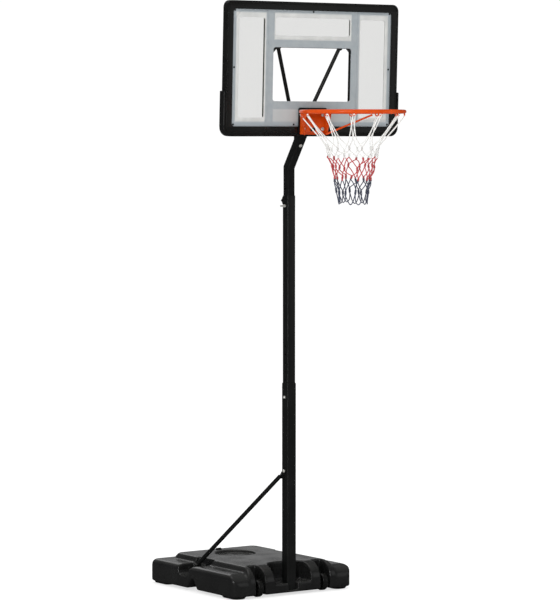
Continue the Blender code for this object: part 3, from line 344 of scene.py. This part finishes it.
# ---- mesh helpers ----------------------------------------------------------------------------
def shading_group():
    """Joins doubled points, and shades smooth with creases kept where faces meet steeply."""
    group = bpy.data.node_groups.new("tidy_shading", "GeometryNodeTree")
    group.interface.new_socket("Geometry", in_out="INPUT", socket_type="NodeSocketGeometry")
    group.interface.new_socket("Geometry", in_out="OUTPUT", socket_type="NodeSocketGeometry")
    start = group.nodes.new("NodeGroupInput")
    merge = group.nodes.new("GeometryNodeMergeByDistance")
    merge.inputs["Distance"].default_value = MERGE_DISTANCE
    faces = group.nodes.new("GeometryNodeSetShadeSmooth")
    creases = group.nodes.new("GeometryNodeSetShadeSmooth")
    creases.domain = "EDGE"
    creases.inputs["Shade Smooth"].default_value = False
    angle = group.nodes.new("GeometryNodeInputMeshEdgeAngle")
    steep = group.nodes.new("FunctionNodeCompare")
    steep.data_type = "FLOAT"
    steep.operation = "GREATER_THAN"
    steep.inputs[1].default_value = CREASE_ANGLE
    end = group.nodes.new("NodeGroupOutput")
    link = group.links.new
    link(start.outputs[0], merge.inputs["Geometry"])
    link(merge.outputs[0], faces.inputs["Geometry"])
    link(faces.outputs[0], creases.inputs["Geometry"])
    link(angle.outputs["Unsigned Angle"], steep.inputs[0])
    link(steep.outputs[0], creases.inputs["Selection"])
    link(creases.outputs[0], end.inputs[0])
    return group


def dress(material, *names, bevel=0.0, segments=2):
    """Gives kept CAD nodes a material, even shading and, if asked, rounded edges."""
    for name in names:
        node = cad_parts[name]
        node.data.materials.clear()
        node.data.materials.append(material)
        custom = node.data.attributes.get("custom_normal")
        if custom is not None:
            node.data.attributes.remove(custom)
        weld = node.modifiers.new("weld", "WELD")
        weld.merge_threshold = MERGE_DISTANCE
        if bevel > 0:
            flat = node.modifiers.new("flats", "DECIMATE")
            flat.decimate_type = "DISSOLVE"
            flat.angle_limit = math.radians(0.5)
            rounded = node.modifiers.new("edges", "BEVEL")
            rounded.width = bevel
            rounded.segments = segments
            rounded.limit_method = "ANGLE"
            rounded.angle_limit = CREASE_ANGLE
            rounded.use_clamp_overlap = True
        shading = node.modifiers.new("shading", "NODES")
        shading.node_group = SHADING


def mesh_object(name, mesh, material):
    mesh.name = name
    made = bpy.data.objects.new(name, mesh)
    bpy.context.scene.collection.objects.link(made)
    mesh.materials.clear()
    mesh.materials.append(material)
    return made


def settle(thing):
    """Applies a piece's modifiers."""
    bpy.context.view_layer.update()
    mesh = bpy.data.meshes.new_from_object(thing.evaluated_get(bpy.context.evaluated_depsgraph_get()))
    thing.modifiers.clear()
    thing.data = mesh


def place_piece(thing, body, slot, *stands_for):
    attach(thing, body)
    if stands_for:
        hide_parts(*stands_for)


def softened(name, node, extras, voxel, rounds, material, turn=Matrix.Identity(4)):
    """A CAD solid and more solids, remeshed along the axes of turn, with edges melted round."""
    shape = bmesh.new()
    shape.from_mesh(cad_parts[node].data)
    for extra in extras:
        shape.from_mesh(extra)
    bmesh.ops.transform(shape, matrix=turn.inverted(), verts=shape.verts)
    mesh = bpy.data.meshes.new(name)
    shape.to_mesh(mesh)
    shape.free()
    made = mesh_object(name, mesh, material)
    remesh = made.modifiers.new("remesh", "REMESH")
    remesh.mode = "VOXEL"
    remesh.voxel_size = voxel
    melt = made.modifiers.new("melt", "SMOOTH")
    melt.factor = 0.5
    melt.iterations = rounds
    settle(made)
    made.data.transform(turn)
    made.data.materials.clear()
    made.data.materials.append(material)
    made.data.shade_smooth()
    return made


def solid(build):
    """A mesh made by a bmesh call."""
    shape = bmesh.new()
    build(shape)
    mesh = bpy.data.meshes.new("solid")
    shape.to_mesh(mesh)
    shape.free()
    return mesh


def upright_rod(x, y, low, high, radius, top_radius=None):
    top = radius if top_radius is None else top_radius
    place = Matrix.Translation((x, y, (low + high) / 2))
    return solid(
        lambda shape: bmesh.ops.create_cone(
            shape, cap_ends=True, segments=32, radius1=radius, radius2=top, depth=high - low, matrix=place
        )
    )


def bar(centre, size, turn=0.0):
    place = Matrix.Translation(centre) @ Matrix.Rotation(turn, 4, "Z") @ Matrix.Diagonal((*size, 1))
    return solid(lambda shape: bmesh.ops.create_cube(shape, size=1.0, matrix=place))


def through(points, count):
    """A smooth path through points, with count steps between neighbours."""
    points = [2 * points[0] - points[1], *points, 2 * points[-1] - points[-2]]
    path = []
    for index in range(1, len(points) - 2):
        before, start, end, after = points[index - 1:index + 3]
        for step in range(count):
            t = step / count
            path.append(
                0.5 * (
                    2 * start + (end - before) * t
                    + (2 * before - 5 * start + 4 * end - after) * t * t
                    + (3 * start - before - 3 * end + after) * t ** 3
                )
            )
    path.append(points[-2])
    return path


def tubes(name, paths, radius, sides, material, twist=3):
    """Round cords along paths. A path whose last point is its first one closes on itself."""
    verts = []
    faces = []
    lay = []
    for path in paths:
        closed = (path[0] - path[-1]).length < 1e-7
        rings = path[:-1] if closed else path
        base = len(verts)
        normal = (path[1] - path[0]).orthogonal().normalized()
        along = 0.0
        for index, point in enumerate(rings):
            ahead = rings[(index + 1) % len(rings)] if closed or index + 1 < len(rings) else point
            behind = rings[index - 1] if closed or index else point
            way = (ahead - behind).normalized()
            normal = (normal - normal.dot(way) * way).normalized()
            across = way.cross(normal)
            if index:
                along += (point - rings[index - 1]).length
            for step in range(sides):
                turn = 2 * math.pi * step / sides
                verts.append(point + radius * (math.cos(turn) * normal + math.sin(turn) * across))
                lay.append((math.cos(twist * turn), math.sin(twist * turn), along))
        count = len(rings)
        for index in range(count if closed else count - 1):
            first = base + index * sides
            last = base + (index + 1) % count * sides
            for step in range(sides):
                after = (step + 1) % sides
                faces.append((first + step, first + after, last + after, last + step))
        if not closed:
            end = base + (count - 1) * sides
            faces.append(tuple(base + sides - 1 - step for step in range(sides)))
            faces.append(tuple(end + step for step in range(sides)))
    mesh = bpy.data.meshes.new(name)
    mesh.from_pydata(verts, [], faces)
    mesh.validate()
    mesh.shade_smooth()
    held = mesh.attributes.new("lay", "FLOAT_VECTOR", "POINT")
    held.data.foreach_set("vector", np.array(lay, np.float32).ravel())
    return mesh_object(name, mesh, material)


def round_rectangle(left, right, low, high, radius, steps=6):
    centres = [
        (right - radius, low + radius, -90),
        (right - radius, high - radius, 0),
        (left + radius, high - radius, 90),
        (left + radius, low + radius, 180),
    ]
    points = []
    for x, y, start in centres:
        for step in range(steps + 1):
            turn = math.radians(start + 90 * step / steps)
            points.append((x + radius * math.cos(turn), y + radius * math.sin(turn)))
    return points


def circle(radius, x, y, steps=16):
    turns = [2 * math.pi * (step + 0.3) / steps for step in range(steps)]
    return [(x + radius * math.cos(turn), y + radius * math.sin(turn)) for turn in turns]


def sheet(name, loops, front, back, rounding, material):
    """A flat piece in the board's plane, front and back in metres behind its face."""
    curve = bpy.data.curves.new(name, "CURVE")
    curve.dimensions = "2D"
    curve.fill_mode = "BOTH"
    curve.extrude = (back - front) / 2
    for loop in loops:
        spline = curve.splines.new("POLY")
        spline.points.add(len(loop) - 1)
        spline.use_cyclic_u = True
        for point, (x, y) in zip(spline.points, loop):
            point.co = (x, y, 0, 1)
    drawn = bpy.data.objects.new(name + "_outline", curve)
    bpy.context.scene.collection.objects.link(drawn)
    bpy.context.view_layer.update()
    mesh = bpy.data.meshes.new_from_object(drawn.evaluated_get(bpy.context.evaluated_depsgraph_get()))
    bpy.data.objects.remove(drawn)
    shape = bmesh.new()
    shape.from_mesh(mesh)
    bmesh.ops.remove_doubles(shape, verts=shape.verts, dist=MERGE_DISTANCE)
    bmesh.ops.recalc_face_normals(shape, faces=shape.faces)
    bmesh.ops.dissolve_limit(shape, angle_limit=0.01, verts=shape.verts, edges=shape.edges)
    if rounding > 0:
        steep = [edge for edge in shape.edges if edge.calc_face_angle(0) > 1.0]
        bmesh.ops.bevel(
            shape, geom=steep, offset=rounding, segments=3, profile=0.5, affect="EDGES", clamp_overlap=True
        )
    bmesh.ops.translate(shape, vec=(0, 0, -(front + back) / 2), verts=shape.verts)
    bmesh.ops.transform(shape, matrix=BOARD_PLANE, verts=shape.verts)
    shape.to_mesh(mesh)
    shape.free()
    made = mesh_object(name, mesh, material)
    shading = made.modifiers.new("shading", "NODES")
    shading.node_group = SHADING
    return made


# ---- base ------------------------------------------------------------------------------------
TANK_VOXEL = 0.0035
TANK_MELT_ROUNDS = 20
PLUG_RADIUS = 0.016
# Places of the pocket's ribs, out from the pole's centre and back from it.
RIB_PLACES = ((0.052, 0.084), (0.094, 0.050))
DISH_BACK = 0.45
SPOKE_SIZE = (0.18, 0.007, 0.005)
SPOKE_DROP = 0.0145


def build_tank(material):
    """The moulded shell: its filler hole is closed under the cap, and ribs line the pole's pocket."""
    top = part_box("base_tank")[1].z
    cap_low, cap_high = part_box("filler_cap")
    seal_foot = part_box("filler_seal")[0].z
    cap = (cap_low + cap_high) / 2
    plug = upright_rod(cap.x, cap.y, top - 0.03, seal_foot - 0.0005, PLUG_RADIUS)
    ribs = [
        upright_rod(side * x, POLE_Y + y, 0.05, top - 0.020, 0.011, 0.008)
        for side in (-1, 1)
        for x, y in RIB_PLACES
    ]
    dish = (0, POLE_Y + DISH_BACK, top - SPOKE_DROP)
    spokes = [bar(dish, SPOKE_SIZE, math.radians(60 * step + 20)) for step in range(3)]
    extras = [plug, *ribs, *spokes]
    tank = softened("tank_shell", "base_tank", extras, TANK_VOXEL, TANK_MELT_ROUNDS, material)
    place_piece(tank, "base", "tank_plastic", "base_tank")


# ---- rim -------------------------------------------------------------------------------------
HOOK_WIRE = 0.0028
HOOK_HALF_WIDTH = 0.0095
HOOK_REACH = 0.0182
HOOK_SHOULDER = 0.0135


def ring_point(radius, turn, height=0.0):
    return RIM_CENTRE + Vector((radius * math.cos(turn), radius * math.sin(turn), height))


def hook_turns():
    return [HOOK_TURN + 2 * math.pi * index / HOOK_COUNT for index in range(HOOK_COUNT)]


def build_ring(material):
    steps = 144
    path = [ring_point(RIM_RADIUS, 2 * math.pi * step / steps) for step in range(steps)]
    ring = tubes("rim_hoop", [[*path, path[0]]], RIM_WIRE, 24, material)
    place_piece(ring, "head", "rim_paint", "rim_ring")
    hooks = []
    half = HOOK_HALF_WIDTH / RIM_RADIUS
    for turn in hook_turns():
        points = [
            ring_point(RIM_RADIUS, turn - half, -RIM_WIRE * 0.7),
            ring_point(RIM_RADIUS, turn - half * 0.85, -HOOK_SHOULDER),
            ring_point(RIM_RADIUS, turn - half * 0.35, -HOOK_REACH),
            ring_point(RIM_RADIUS, turn + half * 0.35, -HOOK_REACH),
            ring_point(RIM_RADIUS, turn + half * 0.85, -HOOK_SHOULDER),
            ring_point(RIM_RADIUS, turn + half, -RIM_WIRE * 0.7),
        ]
        hooks.append(through(points, 5))
    wires = tubes("rim_hooks", hooks, HOOK_WIRE, 10, material)
    place_piece(wires, "head", "rim_paint")


# ---- net -------------------------------------------------------------------------------------
NET_SEED = 12
NET_TWIST = math.radians(-7)
NET_RED = 0.205
NET_NAVY = 0.306
CORD_RADIUS = 0.0023
# Each row of knots: drop below the rim, radius, steps round from the hooks, length of the binding.
NET_ROWS = (
    (0.171, 0.119, 0.5, 0.011), (0.205, 0.111, 0.0, 0.013), (0.250, 0.097, 0.5, 0.015),
    (0.303, 0.083, 0.0, 0.019), (0.360, 0.073, 0.5, 0.021),
)
NET_END = 0.420


def net_knots(dice):
    """The top and the foot of each binding, a little uneven as in a real net."""
    step = 2 * math.pi / HOOK_COUNT
    rows = []
    for level, (drop, radius, shift, length) in enumerate(NET_ROWS):
        twist = NET_TWIST * (1 + 0.1 * level)
        row = []
        for index in range(HOOK_COUNT):
            turn = HOOK_TURN + twist + (index + shift) * step + dice.uniform(-0.08, 0.08)
            fall = -drop + dice.uniform(-0.010, 0.010)
            centre = ring_point(radius + dice.uniform(-0.004, 0.003), turn, fall)
            lean = Vector((dice.uniform(-0.3, 0.3), dice.uniform(-0.3, 0.3), 1)).normalized()
            half = lean * length * dice.uniform(0.40, 0.60)
            row.append((centre + half, centre - half))
        rows.append(row)
    return rows


def sagging(start, end, dice, bow=0.005, count=4):
    """A cord between two bindings, bowed a little off the straight line."""
    middle = (start + end) / 2
    outward = Vector((middle.x - RIM_CENTRE.x, middle.y - RIM_CENTRE.y, 0)).normalized()
    side = (end - start).cross(outward).normalized()
    push = outward * dice.uniform(-bow * 0.5, bow) + side * dice.uniform(-bow, bow)
    first = start.lerp(end, 0.33) + push * 0.8
    second = start.lerp(end, 0.67) + push * 0.7
    return through([start, first, second, end], count)


def binding(top, foot, dice):
    """Cord wound round the two strands that meet, in turns that lie side by side."""
    way = foot - top
    length = way.length
    way.normalize()
    normal = way.orthogonal().normalized()
    across = way.cross(normal)
    pitch = CORD_RADIUS * 2.05
    turns = max(2.0, length / pitch)
    start = dice.uniform(0, 2 * math.pi)
    steps = int(turns * 10)
    path = []
    for index in range(steps + 1):
        share = index / steps
        turn = start + 2 * math.pi * turns * share
        bulge = CORD_RADIUS * (1.25 + 0.35 * math.sin(math.pi * share))
        path.append(top + way * length * share + (math.cos(turn) * normal + math.sin(turn) * across) * bulge)
    return path


def build_net(material):
    dice = random.Random(NET_SEED)
    rows = net_knots(dice)
    cords = []
    for index, turn in enumerate(hook_turns()):
        eye = ring_point(RIM_RADIUS, turn, -HOOK_DROP)
        aside = Vector((-math.sin(turn), math.cos(turn), 0))
        inward = Vector((-math.cos(turn), -math.sin(turn), 0))
        middle = (rows[0][index - 1][0] + rows[0][index][0]) / 2
        legs = []
        for lean, knot_index in ((-1, index - 1), (1, index)):
            foot = rows[0][knot_index][0]
            side = aside * lean
            top = eye + side * 0.0045 - Vector((0, 0, 0.005))
            first = top.lerp(middle, 0.35) + side * dice.uniform(0.001, 0.007)
            first += inward * dice.uniform(-0.004, 0.002)
            second = top.lerp(middle, 0.72) + side * dice.uniform(0.005, 0.012)
            legs.append([top, first, second, foot])
        cords.append(through([*reversed(legs[0]), eye, *legs[1]], 6))
    for level in range(len(rows) - 1):
        upper, lower = rows[level], rows[level + 1]
        lower_first = NET_ROWS[level][2] > 0
        for index in range(HOOK_COUNT):
            neighbours = (index, (index + 1) % HOOK_COUNT) if lower_first else (index - 1, index)
            for other in neighbours:
                cords.append(sagging(upper[index][1], lower[other][0], dice))
    step = 2 * math.pi / HOOK_COUNT
    for index in range(HOOK_COUNT):
        start = rows[-1][index][1]
        end = rows[-1][(index + 1) % HOOK_COUNT][1]
        turn = HOOK_TURN + NET_TWIST * 1.4 + (index + 1) * step
        radius = 0.069 + dice.uniform(-0.004, 0.003)
        fall = -NET_END + dice.uniform(0.0, 0.012)
        low = ring_point(radius, turn, fall)
        left = ring_point(radius, turn - step * 0.33, fall + 0.014)
        right = ring_point(radius, turn + step * 0.33, fall + 0.014)
        cords.append(through([start, left, low, right, end], 6))
    net = tubes("net_cords", cords, CORD_RADIUS, 8, material)
    place_piece(net, "head", "net_cord", "net")
    bound = [binding(top, foot, dice) for row in rows for top, foot in row]
    tied = tubes("net_bindings", bound, CORD_RADIUS * 0.92, 8, material)
    place_piece(tied, "head", "net_cord")


# ---- backboard -------------------------------------------------------------------------------
PANEL_GAP = 0.0003
PANEL_LEDGE = 0.010
PANEL_THICKNESS = 0.004
PANEL_CORNER = 0.018
FIELD_CORNER = 0.012
SCREW_HOLE = 0.0024
RIM_BOLT_HOLE = 0.0043
RIM_BOLT_PLACES = ((-0.053, -0.0115), (0.053, -0.0115))
TRAY_RISE = 0.0018
TRAY_TOP = 0.4570
GUARD_VOXEL = 0.0022
GUARD_MELT_ROUNDS = 7
RIDGE_INSIDE = 0.4865
RIDGE_OUTSIDE = 0.4905
RIDGE_FOOT = -0.06
RIDGE_TOP = 0.088
RIDGE_DEPTH = 0.0125
BEAD_INSET = 0.0065
BEAD_WIDTH = 0.005
BEAD_ROUNDING = 0.0016


def screw_places():
    side = FRAME_HALF - FRAME_BORDER - 0.0105
    low = FRAME_LOW + FRAME_BORDER + 0.009
    high = FRAME_HIGH - FRAME_BORDER - 0.0055
    places = [(x, y) for x in (-side, side) for y in (low, (low + high) / 2, high)]
    return [*places, (0, high), (-0.1, low), (0.1, low)]


def tray_outline(left, right, low, high, cut_left, cut_right):
    """A raised tray's outline. A top corner with a cut above zero is chamfered."""
    points = [(right, low), (right, high - cut_right * 1.1), (right - cut_right, high)]
    points += [(left + cut_left, high), (left, high - cut_left * 1.1), (left, low)]
    return [point for index, point in enumerate(points) if point != points[index - 1]]


def build_panel(material):
    inset = FRAME_BORDER - PANEL_LEDGE + PANEL_GAP
    half = FRAME_HALF - inset
    low = FRAME_LOW + inset
    high = FRAME_HIGH - inset
    left, right, bottom, top = SIDE_FIELD
    fields = [(-right, -left, bottom, top), (left, right, bottom, top), TOP_FIELD]
    holes = [round_rectangle(*field, FIELD_CORNER) for field in fields]
    window = round_rectangle(*WINDOW, FIELD_CORNER)
    drilled = [circle(SCREW_HOLE, x, y) for x, y in screw_places()]
    drilled += [circle(RIM_BOLT_HOLE, x, y) for x, y in RIM_BOLT_PLACES]
    outline = round_rectangle(-half, half, low, high, PANEL_CORNER)
    loops = [outline, window, *holes, *drilled]
    panel = sheet("board_sheet", loops, 0.0, PANEL_THICKNESS, 0.0, material)
    trays = [
        (tray_outline(-0.430, -0.252, -0.038, TRAY_TOP, 0.030, 0.0), holes[0]),
        (tray_outline(0.252, 0.430, -0.038, TRAY_TOP, 0.0, 0.030), holes[1]),
        (tray_outline(-0.218, 0.218, 0.333, TRAY_TOP, 0.008, 0.008), holes[2]),
    ]
    drawn = []
    for index, (edge, hole) in enumerate(trays):
        tray = sheet(f"tray_{index}", [edge, hole], -TRAY_RISE, PANEL_THICKNESS / 2, 0.0013, material)
        union = panel.modifiers.new(tray.name, "BOOLEAN")
        union.operation = "UNION"
        union.solver = "EXACT"
        union.object = tray
        settle(tray)
        drawn.append(tray)
    settle(panel)
    for tray in drawn:
        bpy.data.objects.remove(tray)
    panel.data.materials.clear()
    panel.data.materials.append(material)
    shading = panel.modifiers.new("shading", "NODES")
    shading.node_group = SHADING
    place_piece(panel, "head", "panel_plastic", "backboard_panel")


def board_bar(left, right, low, high, front, back):
    """A box in the board's plane."""
    size = Vector((right - left, back - front, high - low))
    centre = Vector((left + right, front + back, low + high)) / 2
    place = BOARD @ Matrix.Translation(centre) @ Matrix.Diagonal((*size, 1))
    return solid(lambda shape: bmesh.ops.create_cube(shape, size=1.0, matrix=place))


def build_guard(material):
    """The bumper strip: soft edges, and a low ridge along the outside of each upright end."""
    ridges = [
        board_bar(left, right, RIDGE_FOOT, RIDGE_TOP, -RIDGE_DEPTH, 0.0)
        for left, right in ((-RIDGE_OUTSIDE, -RIDGE_INSIDE), (RIDGE_INSIDE, RIDGE_OUTSIDE))
    ]
    guard = softened(
        "soft_guard", "bottom_guard", ridges, GUARD_VOXEL, GUARD_MELT_ROUNDS, material, BOARD
    )
    place_piece(guard, "head", "rubber", "bottom_guard")


def frame_outline(inset, radius):
    """The frame's outline, drawn inward by inset."""
    half = FRAME_HALF - inset
    return round_rectangle(-half, half, FRAME_LOW + inset, FRAME_HIGH - inset, radius, 8)


def build_frame_bead(material):
    """A raised bead that runs round the frame near its outer edge."""
    outer = frame_outline(BEAD_INSET, 0.026)
    inner = frame_outline(BEAD_INSET + BEAD_WIDTH, 0.022)
    bead = sheet("frame_bead", [outer, inner], -0.0082, -0.002, BEAD_ROUNDING, material)
    place_piece(bead, "head", "black_plastic")


# ---- staging ---------------------------------------------------------------------------------
FLOOR_HALF = 60.0
FLOOR_Z = -0.0005
WORLD_LIGHT = 1.03
WORLD_MIRRORED = 0.07
VIEW_TURN = math.radians(35)
VIEW_DISTANCE = 14.0
VIEW_ASIDE = 0.042
VIEW_HEIGHT = 2.1565
VIEW_DROP = math.radians(3.167)
VIEW_LENS = 180
VIEW_SENSOR = 36
VIEW_END = 100


def build_floor():
    """A pale floor with a light contact shadow. What the object's sheen shows of it is kept dim."""
    made = Finish("studio_floor")
    cloud = made.noise(2.0, 3.0)
    pale = made.mix(cloud, (0.965, 0.965, 0.965), (0.985, 0.985, 0.985))
    path = made.node("LightPath").outputs
    base = made.mix(path["Is Glossy Ray"], pale, (0.07, 0.07, 0.07))
    base = made.mix(path["Is Camera Ray"], base, (0.40, 0.40, 0.40))
    made.set(Base_Color=base, Roughness=0.9, Specular_IOR_Level=0.0, Emission_Color=(1.0, 1.0, 1.0))
    made.set(Emission_Strength=made.maths("MULTIPLY", path["Is Camera Ray"], 0.66))
    shape = bmesh.new()
    bmesh.ops.create_grid(shape, x_segments=8, y_segments=8, size=FLOOR_HALF)
    mesh = bpy.data.meshes.new("studio_floor")
    shape.to_mesh(mesh)
    shape.free()
    floor = mesh_object("studio_floor", mesh, made.material)
    floor.location.z = FLOOR_Z


def area_light(name, place, aim, size, power):
    lamp = bpy.data.lights.new(name, "AREA")
    lamp.shape = "RECTANGLE"
    lamp.size, lamp.size_y = size
    lamp.energy = power
    made = bpy.data.objects.new(name, lamp)
    made.location = place
    made.rotation_euler = (Vector(aim) - Vector(place)).to_track_quat("-Z", "Y").to_euler()
    bpy.context.scene.collection.objects.link(made)
    return made


def build_light():
    """An even white studio. Glossy rays see it dim, so black parts stay black, and lamps add the sheen."""
    world = bpy.data.worlds.new("studio")
    bpy.context.scene.world = world
    world.use_nodes = True
    nodes = world.node_tree.nodes
    link = world.node_tree.links.new
    seen = nodes["Background"]
    seen.inputs["Color"].default_value = (1.0, 1.0, 1.0, 1)
    seen.inputs["Strength"].default_value = WORLD_LIGHT
    mirrored = nodes.new("ShaderNodeBackground")
    mirrored.inputs["Color"].default_value = (0.94, 0.96, 1.0, 1)
    mirrored.inputs["Strength"].default_value = WORLD_MIRRORED
    path = nodes.new("ShaderNodeLightPath")
    chosen = nodes.new("ShaderNodeMixShader")
    link(path.outputs["Is Glossy Ray"], chosen.inputs[0])
    link(seen.outputs[0], chosen.inputs[1])
    link(mirrored.outputs[0], chosen.inputs[2])
    link(chosen.outputs[0], nodes["World Output"].inputs["Surface"])
    aim = (0, POLE_Y, 1.3)
    area_light("key", (-5.0, -5.5, 3.6), aim, (2.0, 3.5), 84)
    area_light("strip", (-5.2, -3.9, 1.6), (0, 0, 0.2), (0.3, 2.4), 75)
    area_light("fill", (4.5, -6.0, 2.5), aim, (3.0, 3.0), 15)
    area_light("top", (0.0, 0.3, 5.5), aim, (4.0, 4.0), 40)
    area_light("back", (2.0, 6.0, 4.0), aim, (3.0, 3.0), 30)
    sheen = area_light("sheen", (4.0, 6.5, 1.6), (0, 0, 0.1), (6.0, 1.6), 9)
    sheen.visible_camera = False


def build_camera():
    ahead = Vector((math.sin(VIEW_TURN), math.cos(VIEW_TURN), 0))
    right = Vector((math.cos(VIEW_TURN), -math.sin(VIEW_TURN), 0))
    camera = bpy.data.cameras.new("camera")
    camera.lens = VIEW_LENS
    camera.sensor_width = VIEW_SENSOR
    camera.clip_end = VIEW_END
    made = bpy.data.objects.new("camera", camera)
    pole = Vector((0, POLE_Y, VIEW_HEIGHT))
    made.location = pole - VIEW_DISTANCE * ahead - VIEW_ASIDE * right
    made.rotation_euler = (math.pi / 2 - VIEW_DROP, 0, -VIEW_TURN)
    bpy.context.scene.collection.objects.link(made)
    bpy.context.scene.camera = made


# ---- the whole scene -------------------------------------------------------------------------
SHADING = shading_group()

pole_paint = pole_finish()
zinc = zinc_finish()
plastic = plastic_finish()
rubber = rubber_finish()
orange = rim_finish()
cord = cord_finish()

dress(pole_paint, "pole_lower", "pole_middle", "pole_neck", "rear_frame")
dress(pole_paint, "brace_left", "brace_right", "strut_left", "strut_right")
dress(zinc, "axle_left", "axle_right", "pole_foot_bolt", "brace_bolt", "brace_nut")
dress(zinc, "brace_screw_left", "brace_screw_right", "height_bolt_lower", "height_bolt_upper")
dress(zinc, "height_nut_lower", "height_nut_upper", "clamp_screw_lower", "clamp_screw_upper")
dress(zinc, "strut_bolt", "strut_nut", "strut_screw_left", "strut_screw_right")
dress(zinc, *[f"rim_bolt_{index}" for index in range(1, 5)])
dress(screw_finish(), *[f"panel_screw_{index}" for index in range(1, 10)])
dress(plastic, "filler_cap", "wheel_left", "wheel_right", "pole_foot_plug", bevel=0.0008)
dress(plastic, "clamp_knob_lower", "clamp_knob_upper", bevel=0.0015)
dress(rubber, "filler_seal")
dress(rubber, "mounting_pad", bevel=0.0012)
dress(plastic, "backboard_frame", bevel=0.004, segments=4)
dress(pane_finish(), "pane_left", "pane_right", "pane_top", bevel=0.0006)
dress(water_finish(), "ballast_water")
dress(orange, "rim_bracket", bevel=0.0008)
dress(orange, "rim_rod_left", "rim_rod_right")

build_tank(tank_finish())
build_guard(rubber)
build_frame_bead(plastic)
build_ring(orange)
build_net(cord)
build_panel(panel_finish())

build_floor()
build_light()
build_camera()
bpy.context.scene.view_settings.view_transform = "Standard"
